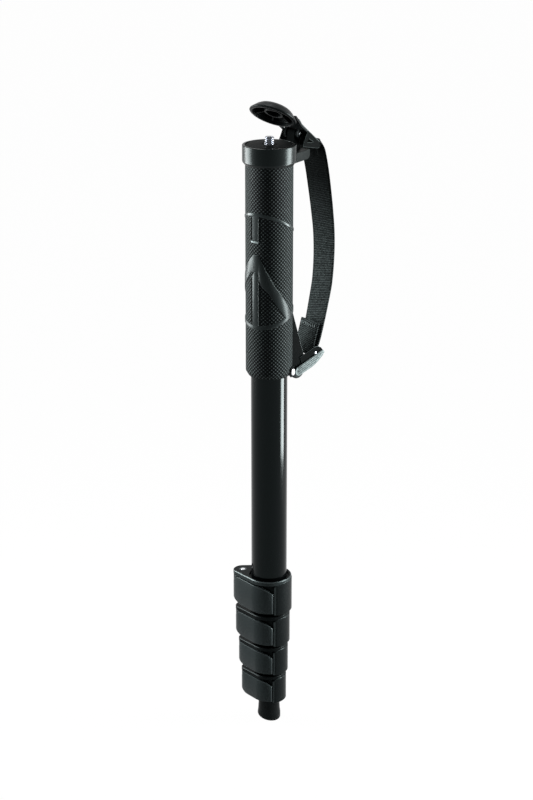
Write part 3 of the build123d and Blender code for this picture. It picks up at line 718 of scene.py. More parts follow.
def capTurn():
    shift = Matrix.Translation((cap["hinge"][0], 0, cap["hinge"][1]))
    return shift @ Matrix.Rotation(math.radians(cap["open"]), 4, "Y") @ shift.inverted()


def rail(s, side):
    # the long side wall with its three-cornered eye
    barX, barZ = barPlace()
    outline = softCorners([
        (29.6, 5.9), (29.6, -5.6, 0.5), (49.0, 2.0, 1.0), (barX + 1.3, barZ - 1.3, 0.6),
        (barX + 1.3, barZ + 0.65, 0.8), (barX - 1.3, 5.9)])
    centre = Vector(cap["eyeCentre"])
    outer, inner = radial(outline, centre, 72), radial(softCorners(cap["eye"]), centre, 72)
    low, high = sorted((side * cap["railInner"], side * cap["railOuter"]))
    # painted highlight: on the near rail the bevels round its outline and round the eye take the painted light
    # line; on the far rail one outer bevel takes the painted edge highlight
    s.holed(outer, inner, low, high, 0.2, slot=2, move=acrossY(), bands={0: 3, 6: 3} if side < 0 else {2: 1})


def buildCap():
    s = Shells()
    s.lathe(softCorners(cap["disc"], 5), 128)
    s.lathe(softCorners(cap["socket"]), 64)
    for k in range(cap["spokes"]):
        spoke = turned(cap["firstSpoke"] + 360 / cap["spokes"] * k) @ acrossY()
        s.plate(cap["spoke"], -cap["spokeHalf"], cap["spokeHalf"], 0.12, move=spoke)
    armTop, radius = cap["armTop"], cap["beadRadius"]
    circle = [fullTurn * k / 12 for k in range(12)]
    for side in (-1, 1):
        s.plate(counted([(x, side * y) for x, y in softCorners(cap["arm"])]), armTop - cap["armThick"], armTop)
        bead = [(x, side * y, z) for x, y, z in cap["bead"]]
        # painted highlight: the beads along the arm take the painted light line
        s.loft([[(x, y + radius * math.cos(t), z + radius * math.sin(t)) for t in circle] for x, y, z in bead],
               slot=3)
        rail(s, side)
        s.plate(counted([(x, side * y) for x, y in cap["screen"]]), cap["screenLow"], cap["screenTop"], 0.2)
        cheek = [(cap["cheekRadius"] * math.cos(t), -cap["cheekRadius"] * math.sin(t))
                 for t in spread(0, math.pi, 16)]
        low, high = sorted((side * cap["cheekInner"], side * cap["cheekOuter"]))
        s.plate(counted(cheek[::-1] + cap["cheekTop"]), low, high, 0.25, move=acrossY(*cap["hinge"]))
    x, z = barPlace()
    s.rod((x, -cap["railOuter"], z), (x, cap["railOuter"], z), cap["barRadius"], 0.3)
    # closes the view through the hinge slot
    s.plate(counted(cap["cover"]), -cap["coverHalf"], cap["coverHalf"], 0.08, move=acrossY())
    piece = s.build("flipCap", ["capPlastic", "paintedEdgeHighlight", "knuckleBlack", "paintedLightLine"], move=capTurn())
    settle(piece, "cap", ["flip_cap"])
    pin = Shells()
    x, z = cap["hinge"]
    pin.rod((x, -cap["pinHalf"], z), (x, cap["pinHalf"], z), cap["pinRadius"], 0.25, dome=0.15)
    settle(pin.build("capPin", ["dullSteel"], move=capTurn()), "cap", ["cap_hinge_pin"])


buildCap()
print("cap made")

grip = {
    "radius": 15.35, "band": 15.75, "top": -12.4, "chamfer": -149.2, "foot": 13.4, "bottom": -152.4,
    "bore": 12.1,
    "middle": 178.0, "mirror": 356, "leg": (178, 103.4, 60),
    # start, width and steps round the sleeve in degrees
    "bar": (169.4, 17.8, 10), "tick": (164.6, 21.4, 10), "ridge": (185.6, 2.1, 3), "groove": (164.4, 4.9, 4),
    "ridgeRise": (0.0, 0.16, 0.1, -0.3),
    "upperBar": (-43.4, -59.8), "lowerBar": (-80.0, -116.4), "tickHeights": (-59.8, -61.1),
    "ridges": [(-44.5, -59.8), (-82.5, -115.5)], "grooves": [(-45.2, -59.6), (-84.0, -114.0)],
    "archFall": 2.6, "archMiddle": 178.3, "archHalf": 8.9, "sunk": 0.25, "shoulder": 0.22, "brow": 0.05,
    "grooveSunk": 0.3, "grooveProud": 0.03,
}
bandRings = {
    # height and sway of the slanted rings, and how far they reach above and below that line
    "upper": {"height": -50.6, "sway": 8.0, "above": 1.2, "below": 1.2, "edge": 0.75, "rim": 4, "face": 4},
    # the lower ring's edges take slot 3, the painted light line
    "lower": {"height": -111.9, "sway": -6.1, "above": 2.4, "below": 0.5, "edge": 0.5, "rim": 3, "face": 1},
}
chevron = {
    # azimuth and height along each edge; the far leg is mirrored about azimuth 178
    "upper": [(178, -68.5), (182, -68.5), (185, -68.9), (189, -70.2), (194, -72.7), (203.4, -77.8),
              (215.6, -83.7), (228.4, -89.8), (239, -93.6), (253.5, -99.7), (274.8, -106.9), (281.4, -108.9)],
    "lower": [(178, -81.0), (185.8, -81.2), (187.3, -84.2), (189.5, -87.0), (194, -89.2), (198.9, -90.6),
              (206, -92.2), (213.7, -94.7), (223.7, -99.2), (233.7, -103.6), (246, -108.2),
              (259.5, -112.0), (275.4, -112.3), (281.4, -111.0)],
    "farUpper": [(178, -68.5), (183, -68.7), (189, -70.0), (199.6, -73.2), (214.2, -78.4), (229, -84.3),
                 (253.5, -97.0), (281.4, -108.9)],
    "farLower": [(178, -80.6), (184, -80.4), (191.7, -80.9), (202.7, -84.7), (214.2, -88.4), (229, -92.5),
                 (255, -102.0), (281.4, -111.0)],
}


def level(height, sway=0.0):
    # a band's edge: level, or slanted by sway, which is full at the grip's middle
    return lambda azimuth: height + sway * math.cos(math.radians(azimuth - grip["middle"]))


def chevronEdge(name, mirror=False):
    places, heights = zip(*chevron[name])
    return lambda azimuth: smoothAlong(places, heights, grip["mirror"] - azimuth if mirror else azimuth)


def arch(azimuth):
    return grip["lowerBar"][0] - grip["archFall"] * (abs(azimuth - grip["archMiddle"]) / grip["archHalf"]) ** 3


def raisedBand(s, azimuths, top, low, edge, wrap=False, rim=3, face=1):
    # a smooth band over the knurl with softened edges; top and low give its heights at an azimuth; its edges
    # take the rim slot, which is the painted light line unless another is given
    rings = []
    base, high = grip["radius"] - grip["sunk"], grip["band"]
    shoulder, brow = high - grip["shoulder"], high - grip["brow"]
    for azimuth in azimuths:
        t, b = top(azimuth), low(azimuth)
        e = min(edge, (t - b) / 2 - 0.02)
        rings.append([around(r, azimuth, z) for r, z in [
            (base, b - 0.1), (shoulder, b + e * 0.25), (brow, b + e * 0.6), (high, b + e),
            (high, t - e), (brow, t - e * 0.6), (shoulder, t - e * 0.25), (base, t + 0.1)]])
    s.loft(rings, lambda i, j: rim if j in (1, 5) else face, wrap=wrap)


def uprightStrip(s, azimuths, foot, faces, heights, slot):
    # a narrow strip along the sleeve; faces gives its outer radius at each azimuth
    high, low = heights
    s.loft([[around(r, a, z) for r, z in [(foot, low), (face, low), (face, high), (foot, high)]]
            for a, face in zip(azimuths, faces)], slot=slot)


def buildGrip():
    s = Shells()
    radius, bore = grip["radius"], grip["bore"]
    s.lathe(softCorners([
        (bore, grip["top"]), (bore, grip["bottom"]), (grip["foot"], grip["bottom"], 0.5),
        (radius, grip["chamfer"], 1.6), (radius, grip["top"])]), 128)
    circle = [2.5 * k for k in range(144)]
    for ring in bandRings.values():
        top = level(ring["height"] + ring["above"], ring["sway"])
        low = level(ring["height"] - ring["below"], ring["sway"])
        raisedBand(s, circle, top, low, ring["edge"], wrap=True, rim=ring["rim"], face=ring["face"])
    bar = spread(*grip["bar"])
    raisedBand(s, bar, *map(level, grip["upperBar"]), 0.6)
    # painted highlight: the tick under the upper bar is painted light grey
    raisedBand(s, spread(*grip["tick"]), *map(level, grip["tickHeights"]), 0.3, rim=5, face=5)
    raisedBand(s, bar, arch, level(grip["lowerBar"][1]), 0.6)
    ridge, groove = spread(*grip["ridge"]), spread(*grip["groove"])
    # painted highlight: the ridges beside the bars are painted light lines
    for heights in grip["ridges"]:
        uprightStrip(s, ridge, radius, [grip["band"] + rise for rise in grip["ridgeRise"]], heights, 3)
    # painted shade: these strips sit just proud of the knurl and are painted near black, where the groove lies
    # in shade
    for heights in grip["grooves"]:
        uprightStrip(s, groove, radius - grip["grooveSunk"], [radius + grip["grooveProud"]] * len(groove),
                     heights, 2)
    leg = spread(*grip["leg"])
    # the chevron legs' edges take the painted light line
    raisedBand(s, leg, chevronEdge("upper"), chevronEdge("lower"), 0.6)
    farLeg = [grip["mirror"] - a for a in leg]
    raisedBand(s, farLeg, chevronEdge("farUpper", True), chevronEdge("farLower", True), 0.6)
    piece = s.build("gripSleeve", ["gripKnurl", "gripBand", "paintedGrooveShade", "paintedLightLine", "bandGloss", "paintedTickHighlight"], 50)
    settle(piece, "handle", ["grip_sleeve"])


buildGrip()
print("grip made")

tubes = {
    "radii": [12.0, 10.75, 9.5, 8.25, 7.0], "wall": 0.85, "edge": 0.2,
    "tops": [-4.0, -17.0, -40.0, -64.0, -86.0],
    "ends": [-303.0, -328.9, -352.496, -374.684, -392.0],
}


def sectionBody(n):
    return "handle" if n == 0 else f"section_{n + 1}"


def buildTube(n):
    s = Shells()
    radius, top, end, edge = tubes["radii"][n], tubes["tops"][n], tubes["ends"][n], tubes["edge"]
    inner = radius - tubes["wall"]
    s.lathe(softCorners([(inner, top), (inner, end), (radius, end, edge), (radius, top, edge)]), 128)
    settle(s.build(f"tube{n + 1}", ["anodised"]), sectionBody(n), [f"tube_{n + 1}"])


for number in range(5):
    buildTube(number)
print("tubes made")

locks = {
    "outer": [15.5, 14.2, 13.0, 11.8], "top": [-296.0, -322.6, -346.7, -369.0],
    "bottom": [-321.0, -345.1, -367.4, -389.3],
    "reach": [19.6, 18.3, 16.6, 15.0], "ear": [6.8, 6.5, 6.0, 5.6], "azimuth": 98.5, "gap": 0.3, "wall": 2.65,
    "plate": 0.124, "shelf": 0.28, "lugTop": 0.62, "lugLow": 0.72, "lugHalf": 2.3, "lugCut": 1.6,
    "pinRadius": 1.62,
}
lever = {
    "span": 124.0, "proud": 0.2, "wall": 2.6, "edge": 0.5, "hubTop": 0.136, "hubLow": 0.608, "hubBore": 1.65,
    "least": 1.2,
    # the upper edge: shares of the lever's width, and of the lock's height below its top
    "places": [-0.1, 0.024, 0.067, 0.144, 0.31, 0.6, 0.79, 0.93, 1.0],
    "depths": [0.6, 0.316, 0.244, 0.18, 0.146, 0.14, 0.155, 0.31, 0.45],
    "lowDepth": 0.93, "lowClimb": 0.69, "lowTurn": 0.74, "ends": [0.45, 0.12],
}
lockSkin = {
    "start": 3.4, "steps": 64, "crowding": 1.35, "bevel": 1.0, "bevelTurn": 7.0, "drop": 1.55, "dip": 2.2,
    "dipTurn": 30,
    "paintedHighlightSteps": 4, "lipSteps": 24, "stepBack": 1.5, "stepDepth": 9.2 / 25, "stepTurns": (-2.6, 4.6, 4),
}


def lockSizes(n):
    return [locks[key][n] for key in ("outer", "reach", "top", "bottom", "ear")]


def dropLean(big, small, reach):
    # where the straight side of two circles joined by tangents leaves them, in degrees
    return math.degrees(math.acos((big - small) / reach))


def dropStation(big, small, reach, turn):
    # a point of that outline and its outward normal, whose angle is turn
    angle = math.radians(turn)
    normal = Vector((math.cos(angle), math.sin(angle)))
    if turn <= dropLean(big, small, reach):
        return Vector((reach, 0)) + normal * small, normal
    return normal * big, normal


def dropOutline(big, small, reach, count):
    lean = dropLean(big, small, reach)
    out = []
    for k in range(count // 4 + 1):
        turn = math.radians(-lean + 2 * lean * k / (count // 4))
        out.append((reach + small * math.cos(turn), small * math.sin(turn)))
    for k in range(count + 1):
        turn = math.radians(lean + (360 - 2 * lean) * k / count)
        out.append((big * math.cos(turn), big * math.sin(turn)))
    return out


def leverStations(outer, small, reach):
    # round the hub, along the straight side and round the tube to the free end
    lean = dropLean(outer, small, reach)
    past = lean + 0.001
    stations = [dropStation(outer, small, reach, lean * i / 12 * 0.999) for i in range(13)]
    first, normal = stations[-1]
    last = dropStation(outer, small, reach, past)[0]
    stations += [(first.lerp(last, i / 8), normal) for i in range(1, 8)]
    rest = lever["span"] - lean
    return stations + [dropStation(outer, small, reach, past + rest * i / 36) for i in range(37)]


def buildLever(n):
    outer, reach, top, bottom, ear = lockSizes(n)
    outer, small, height = outer + lever["proud"], ear - locks["gap"], top - bottom
    halfSpan = math.radians(lever["span"] / 2)
    # shares of the lever's width run from its free end to the hub, seen square on
    direction = Vector((math.sin(halfSpan), -math.cos(halfSpan)))
    freeSide = outer * math.sin(halfSpan)
    width = reach * math.sin(halfSpan) + small + freeSide
    stations = leverStations(outer, small, reach)
    edge, wall, rings = lever["edge"], lever["wall"], []
    for i, (point, normal) in enumerate(stations):
        share = (point.dot(direction) + freeSide) / width
        high = top - height * smoothAlong(lever["places"], lever["depths"], share)
        low = top - height * (lever["lowDepth"] - lever["lowClimb"] * max(0.0, share - lever["lowTurn"]))
        high = max(high, low + lever["least"])
        fromEnd = min(i, len(stations) - 1 - i)
        pull = lever["ends"][fromEnd] if fromEnd < 2 else 0.0  # rounds both ends
        section = [
            (-wall, low + 0.2), (-edge - pull, low), (-edge * 0.3 - pull, low + edge * 0.3),
            (-pull, low + edge), (-pull, high - edge), (-edge * 0.3 - pull, high - edge * 0.3),
            (-edge - pull, high), (-wall, high - 0.2)]
        rings.append([(*(point + normal * d), z) for d, z in section])

    # painted highlight: the top bevel all along, and at the free end the lower bevel and outer face, take the
    # painted edge highlight
    def paintedEdgeSlot(i, j):
        return 1 if j in (4, 5) or (i > len(rings) - 4 and j in (2, 3)) else 0

    s = Shells()
    s.loft(rings, paintedEdgeSlot)
    hubTop, hubLow, bore = top - lever["hubTop"] * height, top - lever["hubLow"] * height, lever["hubBore"]
    s.lathe(softCorners([(bore, hubTop), (bore, hubLow), (small - 0.1, hubLow, 0.3),
                         (small - 0.1, hubTop, 0.3)]),
            48, move=Matrix.Translation((reach, 0, 0)))
    piece = s.build(f"lever{n + 1}", ["lockPlastic", "paintedEdgeHighlight"], move=turned(locks["azimuth"]))
    settle(piece, f"lever_{n + 1}", [f"lock_{n + 1}_lever"])


def lockTop(s, n):
    # top plate with its bevelled rim, and the counterbore round the tube
    outer, reach, top, bottom, ear = lockSizes(n)
    bore, inside = tubes["radii"][n] + 0.02, tubes["radii"][n + 1] + 0.1
    height, inner = top - bottom, outer - locks["wall"]
    outline = dropOutline(outer - 0.35, ear - 0.25, reach, 72)
    rim = radial(outline, Vector((0, 0)), len(outline) * 2)
    hole = [tuple(Vector(p).normalized() * (bore + 1.25)) for p in rim]
    # painted highlight: on the top lock the rim's outer face takes the lighter lever plastic and its upper
    # bevel the painted edge highlight; on the lower locks that bevel takes the darker side-wall plastic
    s.holed(rim, hole, top - locks["plate"] * height, top, 0.4, bands={1: 3, 2: 2} if n == 0 else {2: 1})
    shelf = top - locks["shelf"] * height
    s.lathe(softCorners([
        (inside, shelf), (bore, shelf), (bore, top - 1.3, 0.2), (inner, top - 1.3), (inner, bottom, 0.4),
        (inside, bottom, 0.3)]))


def lockWall(s, n):
    # the outer skin from the lever's free end round to the ear, with a bevelled front edge
    outer, reach, top, bottom, ear = lockSizes(n)
    foot = outer - locks["wall"] - 0.4
    hubCosine = (reach ** 2 + outer ** 2 - (ear + locks["gap"]) ** 2) / (2 * reach * outer)
    hubSide = math.degrees(math.acos(hubCosine))
    start = lever["span"] + lockSkin["start"]
    rings = []
    for i in range(lockSkin["steps"] + 1):
        onward = (360 - hubSide - start) * (i / lockSkin["steps"]) ** lockSkin["crowding"]
        out = outer - lockSkin["bevel"] * (1 - min(1.0, onward / lockSkin["bevelTurn"])) ** 1.2
        high = top - lockSkin["drop"] - lockSkin["dip"] * max(0.0, 1 - onward / lockSkin["dipTurn"]) ** 2
        rings.append([around(r, start + onward, z) for r, z in [
            (foot, bottom + 0.2), (out - 0.4, bottom), (out, bottom + 0.4), (out, high - 0.4),
            (out - 0.4, high), (foot, high)]])

    # painted highlight: next to the lever's free end the chamfered front facet takes the painted edge
    # highlight, and the top bevel there the lighter lever plastic; the rest of the skin takes the darker
    # side-wall plastic
    def skinSlot(i, j):
        if j == 2 and i < lockSkin["paintedHighlightSteps"]:
            return 2
        return 3 if j == 3 and i < lockSkin["lipSteps"] else 1

    s.loft(rings, skinSlot)
    # a short step that closes the slot beside the lever
    out, stepTop = outer - lockSkin["stepBack"], top - lockSkin["stepDepth"] * (top - bottom)
    first, span, count = lockSkin["stepTurns"]
    section = [(foot, bottom + 0.2), (out, bottom + 0.2), (out, stepTop), (foot, stepTop)]
    s.loft([[around(r, azimuth, z) for r, z in section] for azimuth in spread(start + first, span, count)])


def buildLockBody(n):
    outer, reach, top, bottom, ear = lockSizes(n)
    height, inner = top - bottom, outer - locks["wall"]
    lugTop, lugLow = top - locks["lugTop"] * height, top - locks["lugLow"] * height
    s = Shells()
    lockTop(s, n)
    lockWall(s, n)
    half, cut = locks["lugHalf"], locks["lugCut"]
    s.plate([(inner - 2, -half), (reach, -half), (reach + cut, -cut), (reach + half, 0), (reach + cut, cut),
             (reach, half), (inner - 2, half)], lugLow, lugTop, 0.2)
    piece = s.build(f"lockBody{n + 1}", ["lockDark", "stripPlastic", "paintedEdgeHighlight", "lockPlastic"],
                    move=turned(locks["azimuth"]))
    settle(piece, sectionBody(n), [f"lock_{n + 1}_body"])
    pin = Shells()
    pin.rod((reach, 0, lugLow), (reach, 0, top + 0.05), locks["pinRadius"], 0.15, dome=0.1)
    washer = [(1.7, top - 0.9), (1.7, top + 0.02), (2.5, top + 0.12, 0.1), (2.8, top - 0.1, 0.1),
              (2.8, top - 0.9)]
    # painted highlight: the washer round the pin takes the painted edge highlight
    pin.lathe(softCorners(washer), 48, slot=1, move=Matrix.Translation((reach, 0, 0)))
    piece = pin.build(f"lockPin{n + 1}", ["pinSteel", "paintedEdgeHighlight"], move=turned(locks["azimuth"]))
    settle(piece, sectionBody(n), [f"lock_{n + 1}_pin"])


for number in range(4):
    buildLever(number)
    buildLockBody(number)
print("locks made")

bracket = {
    "azimuth": -20.5, "inner": 9.8, "outer": 11.0, "edge": 0.25,
    "cheek": [(10.0, -109.0), (11.1, -110.1, 0.3), (20.7, -141.7, 1.5), (21.3, -145.0, 1.5), (19.4, -150.6),
              (10.0, -150.6)],
    "bed": [(10.0, -109.6), (10.1, -110.1), (19.7, -141.7), (20.3, -145.0), (19.0, -150.6), (10.0, -150.6)],
    "heelRadius": 5.2, "collarTurn": 132, "collarSteps": 44, "collarHeight": -149.4, "collarHalf": 3.2,
    "collarBase": 15.2,
    "collarFace": 16.35, "screwTurn": 57,
    "screw": [(0, 11.4), (1.0, 11.4), (1.0, 16.2), (2.3, 16.3), (2.3, 16.8), (2.0, 17.2), (1.5, 17.45),
              (0.8, 17.55), (0.6, 17.1), (0, 17.1)],
}
buckle = {
    # outlines are (along the lever, down from its top edge)
    "pivot": (15.2, -150.6), "root": 3.1, "rise": 21.3, "bar": (29.4, -140.9), "barRadius": 1.1,
    "barHalf": 11.7,
    "plate": [(10, -0.1), (20.5, -0.2), (22.4, 0.1), (23.2, 0.7), (23.4, 1.6), (23.0, 2.6), (21.0, 3.7),
              (18.0, 4.8), (14.0, 5.9), (10.5, 6.3)],
    "plateInner": 11.3, "plateOuter": 12.4,
    "ribs": [(0.95, 0.0, 22.6, 0.3), (2.25, -1.4, 22.2, 0.4), (3.55, -1.8, 19.6, 0.4), (4.85, -1.0, 16.2, 0.3)],
    "ribHalf": 0.5, "ribProud": 0.32,
    "tall": [(4.6, -5.0), (17.8, -4.9), (20.6, -4.0), (22.3, -2.0), (23.1, 0.8), (20.0, 1.2), (4.6, 1.2)],
    "tallInner": 11.06, "tallOuter": 11.6,
    "web": [(9.4, 0.4), (23.3, 0.4), (23.5, 1.74), (20.21, 4.06), (15.98, 5.4), (9.4, 5.4)], "webInner": 10.0,
    "webOuter": 11.3,
    "bars": [[(22.2, 0.4), (23.5, 0.4), (23.5, 1.7), (22.2, 1.7)],
             [(9.4, 4.1), (12.0, 4.1), (12.0, 5.4), (9.4, 5.4)]],
    "barsHalf": 11.0,
}


def atBracket():
    return turned(bracket["azimuth"])


def leverPoint(along, down):
    rise, root = math.radians(buckle["rise"]), buckle["root"]
    x, z = buckle["pivot"]
    x, z = x - root * math.sin(rise), z + root * math.cos(rise)
    return (x + along * math.cos(rise) + down * math.sin(rise),
            z + along * math.sin(rise) - down * math.cos(rise))


def leverOutline(name):
    return counted([leverPoint(*p) for p in buckle[name]])


def facing(s, outline, inner, outer, edge, slot=0, rim=None):
    # a pair of plates, one on each side of the bracket's middle
    for low, high in ((inner, outer), (-outer, -inner)):
        s.plate(outline, low, high, edge, slot, atBracket() @ acrossY(), rim)


def buildBracket():
    s = Shells()
    height, half = bracket["collarHeight"], bracket["collarHalf"]
    # painted highlight: the cheeks' bevelled lips take the painted edge highlight
    facing(s, counted(softCorners(bracket["cheek"])), bracket["inner"], bracket["outer"], bracket["edge"],
           slot=2, rim=1)
    s.plate(counted(bracket["bed"]), -bracket["inner"], bracket["inner"], 0.1, move=atBracket() @ acrossY())
    pivotX, pivotZ = buckle["pivot"]
    heel = Matrix.Translation((pivotX, 0, pivotZ)) @ Matrix.Rotation(math.radians(-90), 4, "X")
    radius, outer = bracket["heelRadius"], bracket["outer"]
    s.lathe(softCorners([(0, -outer), (radius, -outer, 0.6), (radius, outer, 0.6), (0, outer)]), 48,
            move=atBracket() @ heel)
    rings, base, face = [], bracket["collarBase"], bracket["collarFace"]
    for azimuth in spread(-bracket["collarTurn"] / 2, bracket["collarTurn"], bracket["collarSteps"]):
        tall = half * min(1.0, (bracket["collarTurn"] / 2 - abs(azimuth)) / 5 + 0.4)  # lower towards both ends
        section = [(base, height - tall), (face, height - tall, 0.4), (face, height + tall, 0.4),
                   (base, height + tall)]
        rings.append([around(r, azimuth, z) for r, z in softCorners(section)])
    s.loft(rings, move=atBracket())
    piece = s.build("strapBracket", ["capPlastic", "paintedEdgeHighlight", "knuckleBlack"])
    settle(piece, "handle", ["strap_bracket"])
    screws = Shells()
    outwards = Matrix.Translation((0, 0, height)) @ Matrix.Rotation(math.radians(90), 4, "Y")
    for side in (-1, 1):
        azimuth = bracket["azimuth"] + side * bracket["screwTurn"]
        screws.lathe(bracket["screw"], 32, move=turned(azimuth) @ outwards)
    settle(screws.build("bracketScrews", ["pinSteel"]), "handle", ["bracket_screws"])


def plateRib(s, side, down, start, stop, climb):
    # one long rib on a buckle plate, thinner towards both ends
    rings, face, count = [], side * buckle["plateOuter"], 10
    middle = [start + 1.2 + (stop - start - 2.4) * i / 8 for i in range(1, 8)]
    for along in [start, start + 0.5, start + 1.2, *middle, stop - 1.2, stop - 0.5, stop]:
        thin = min(1.0, 0.25 + min(along - start, stop - along) / 1.2)
        line, ring = down - climb * max(0.0, along) / 22, []
        for turn in [fullTurn * i / count for i in range(count)]:
            x, z = leverPoint(along, line + buckle["ribHalf"] * thin * math.cos(turn))
            ring.append((x, face + buckle["ribProud"] * thin * math.sin(turn), z))
        rings.append(ring)
    s.loft(rings, move=atBracket())


def buildBuckle():
    plates = Shells()
    x, z = buckle["pivot"]
    root = [around(buckle["root"], buckle["rise"] + 270 - 18 * i, 0) for i in range(11)]
    outline = counted([leverPoint(*p) for p in buckle["plate"]] + [(x + a, z + b) for a, b, c in root])
    for side in (1, -1):
        low, high = sorted((side * buckle["plateInner"], side * buckle["plateOuter"]))
        plates.plate(outline, low, high, 0.35, move=atBracket() @ acrossY())
        for rib in buckle["ribs"]:
            plateRib(plates, side, *rib)
    # painted highlight: the side plates are painted grey
    settle(plates.build("bucklePlates", ["paintedBuckleHighlight"]), "buckle", ["buckle_side_plates"])
    channel = Shells()
    # painted highlight: the tall walls' bevelled lips take the painted edge highlight
    facing(channel, leverOutline("tall"), buckle["tallInner"], buckle["tallOuter"], 0.15, slot=2, rim=1)
    facing(channel, leverOutline("web"), buckle["webInner"], buckle["webOuter"], 0.25)
    for bar in buckle["bars"]:
        outline = counted([leverPoint(*p) for p in bar])
        channel.plate(outline, -buckle["barsHalf"], buckle["barsHalf"], 0.25, move=atBracket() @ acrossY())
    piece = channel.build("buckleChannel", ["capPlastic", "paintedEdgeHighlight", "knuckleBlack"])
    settle(piece, "buckle", ["buckle_channel"])
    bar = Shells()
    x, z = buckle["bar"]
    bar.rod((x, -buckle["barHalf"], z), (x, buckle["barHalf"], z), buckle["barRadius"], 0.2, dome=0.2)
    settle(bar.build("strapBar", ["steel"], move=atBracket()), "buckle", ["strap_bar"])


buildBracket()
buildBuckle()
print("bracket and buckle made")

strap = {
    "half": 9.1, "loopHalf": 8.1, "thick": 1.4, "corner": 0.5, "gap": 0.3, "split": -70.0, "step": 1.2,
    # distance from the tube's axis, azimuth and height of the web's middle
    "topEnd": [(46.4, -0.6, -15.5), (45.2, 0, -11.0)],
    "run": [(52.2, -1.0, -12.0), (54.0, -2.6, -23.0), (54.6, -4.5, -35.4), (54.2, -7.4, -51.0),
            (53.0, -10.5, -66.6), (50.8, -13.0, -82.0), (47.7, -15.0, -97.7), (43.3, -17.0, -110.4),
            (38.8, -19.0, -123.1), (35.0, -20.2, -134.0)],
    "lowEnd": [(29.6, -20.5, -138.5), (30.6, -20.5, -134.0), (34.4, -20.2, -121.8)],
    "topLoop": (192, 160, 120, 80, 40, 10), "lowLoop": (-10, -50, -90, -130, -170),
}
hem = {
    "fromEnd": 4.4, "count": 7, "first": -6.6, "pitch": 2.2, "slant": 0.55, "rise": 0.18, "sink": 0.16,
    # each stitch: place along it and radius
    "stitch": [(-1.35, 0.08), (-1.1, 0.28), (-0.5, 0.36), (0.5, 0.36), (1.1, 0.28), (1.35, 0.08)],
}


def loopRound(place, azimuth, barRadius, angles):
    reach = barRadius + strap["gap"] + strap["thick"] / 2
    turns = [math.radians(a) for a in angles]
    return [(place[0] + reach * math.cos(turn), azimuth, place[1] + reach * math.sin(turn)) for turn in turns]


def strapStations():
    # (distance, azimuth, height, half width) from the upper free end to the lower one
    top = strap["topEnd"] + loopRound(barPlace(cap["open"]), 0, cap["barRadius"], strap["topLoop"])
    low = loopRound(buckle["bar"], bracket["azimuth"], buckle["barRadius"], strap["lowLoop"]) + strap["lowEnd"]
    return [(*p, strap["loopHalf"]) for p in top] + [(*p, strap["half"]) for p in strap["run"] + low]


def smoothStations(stations):
    # (point, azimuth, half width, millimetres from the start) on a smooth line through the stations
    points = [Vector(around(*station[:3])) for station in stations]
    out, travelled = [], 0.0
    for i in range(len(points) - 1):
        before, here = points[max(0, i - 1)], points[i]
        there, after = points[i + 1], points[min(len(points) - 1, i + 2)]
        steps = max(2, int((there - here).length / strap["step"]))
        for k in range(steps + (i == len(points) - 2)):
            t = k / steps
            spot = hermite(here, there, (there - before) / 2, (after - here) / 2, t)
            azimuth, half = (stations[i][j] * (1 - t) + stations[i + 1][j] * t for j in (1, 3))
            if out:
                travelled += (spot - out[-1][0]).length
            out.append((spot, azimuth, half, travelled))
    return out


def sideways(azimuth):
    return Vector(around(1, azimuth + 90, 0))


def strapRings(line):
    rings, notes = [], []
    thick, corner = strap["thick"] / 2, strap["corner"]
    for i, (spot, azimuth, half, travelled) in enumerate(line):
        ahead = (line[min(i + 1, len(line) - 1)][0] - line[max(i - 1, 0)][0]).normalized()
        across = sideways(azimuth)
        across = (across - ahead * across.dot(ahead)).normalized()
        normal = across.cross(ahead).normalized()
        section = softCorners([
            (-half, -thick, corner), (half, -thick, corner), (half, thick, corner), (-half, thick, corner)], 3)
        rings.append([spot + across * u + normal * v for u, v in section])
        notes.append([(u, travelled, v) for u, v in section])
    return rings, notes


def addStitches(s, part):
    # a row of slanted stitches across the hem, on the outer face
    where = next(i for i, p in enumerate(part) if part[-1][3] - p[3] < hem["fromEnd"])
    spot, azimuth = part[where][:2]
    ahead = (part[where + 1][0] - part[where - 1][0]).normalized()
    across = sideways(azimuth)
    normal = ahead.cross(across).normalized()
    lean = (ahead + across * hem["slant"]).normalized()
    beside = lean.cross(normal).normalized()
    end = hem["stitch"][-1][0]
    turns = [fullTurn * j / 8 for j in range(8)]
    for k in range(hem["count"]):
        middle = spot + across * (hem["first"] + hem["pitch"] * k) + normal * (strap["thick"] / 2 + 0.02)
        rings = []
        for t, r in hem["stitch"]:
            centre = middle + lean * t + normal * (hem["rise"] - hem["sink"] * (t / end) ** 2)
            rings.append([centre + beside * (r * math.cos(turn)) + normal * (r * math.sin(turn))
                          for turn in turns])
        s.loft(rings, slot=1)


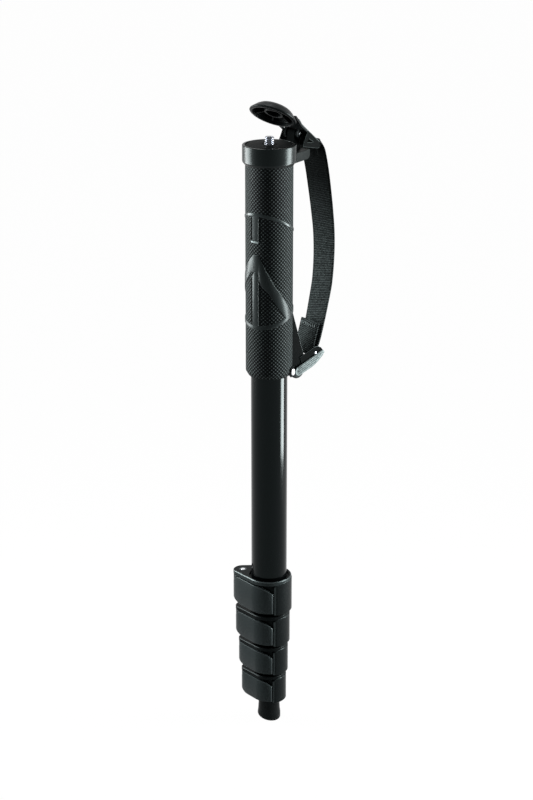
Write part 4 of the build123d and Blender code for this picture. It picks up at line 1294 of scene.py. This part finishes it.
def buildStrap():
    line = smoothStations(strapStations())
    cut = next(i for i, p in enumerate(line) if i > 20 and p[0].z < strap["split"])
    pieces = []
    for name, part in (("strapUpper", line[:cut + 1]), ("strapLower", line[cut:])):
        s = Shells()
        rings, notes = strapRings(part)
        s.loft(rings, notes=notes)
        if name == "strapLower":
            addStitches(s, part)
        piece = s.build(name, ["webbing", "thread"], 60)
        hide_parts("wrist_strap")
        pieces.append(piece)
    azimuth = bracket["azimuth"]
    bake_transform(pieces[0])
    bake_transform(pieces[1], "handle", "buckle", start=around(0.046, azimuth, -0.098),
             end=around(0.0335, azimuth, -0.137))
    print("strap is", round(line[-1][3]), "mm long")


buildStrap()
print("strap made")

foot = {
    "top": -389.8, "inside": -391.8, "low": -405.0, "bore": 7.05, "soleRadius": 7.9, "tilt": 13.5,
    "azimuth": 257.5,
    "side": [(7.2, -389.8, 0.1), (7.25, -393.0, 3), (7.5, -398.0, 3), (7.9, -401.0, 2)], "soleEdge": 0.4,
    "deep": -500, "count": 96,
}


def buildFoot():
    s = Shells()
    slope = math.tan(math.radians(foot["tilt"]))
    middle = foot["low"] + foot["soleRadius"] * slope
    deep = foot["deep"]
    # the profile runs on far below the foot, and what lies that deep is lifted to the slanting sole
    profile = softCorners([(foot["bore"], foot["inside"]), (foot["bore"], foot["top"]), *foot["side"],
                           (foot["soleRadius"], deep, foot["soleEdge"]), (0, deep)])
    rings = []
    for k in range(foot["count"]):
        turn = fullTurn * k / foot["count"]
        ring = []
        for r, z in profile:
            sole = middle - slope * r * math.cos(turn - math.radians(foot["azimuth"]))
            if z < deep + 50:
                z = sole + (z - deep)
            ring.append((r * math.cos(turn), r * math.sin(turn), max(z, sole)))
        rings.append(ring + [(0, 0, foot["inside"])])
    s.loft(rings, wrap=True)
    settle(s.build("rubberFoot", ["footRubber"]), "section_5", ["rubber_foot"])


def finishInside():
    # the nodes that no side shows keep their own solids
    hidden = {"buckle_pins": "steel", "head_plug": "innerPlastic", "foot_plug": "innerPlastic"}
    hidden.update({f"glide_bush_{n}": "innerPlastic" for n in range(2, 6)})
    hidden.update({f"lock_{n}_shoe": "innerPlastic" for n in range(1, 5)})
    for node, kind in hidden.items():
        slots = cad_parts[node].data.materials
        slots.clear()
        slots.append(finish[kind])


buildFoot()
finishInside()
print("foot and inner parts made")
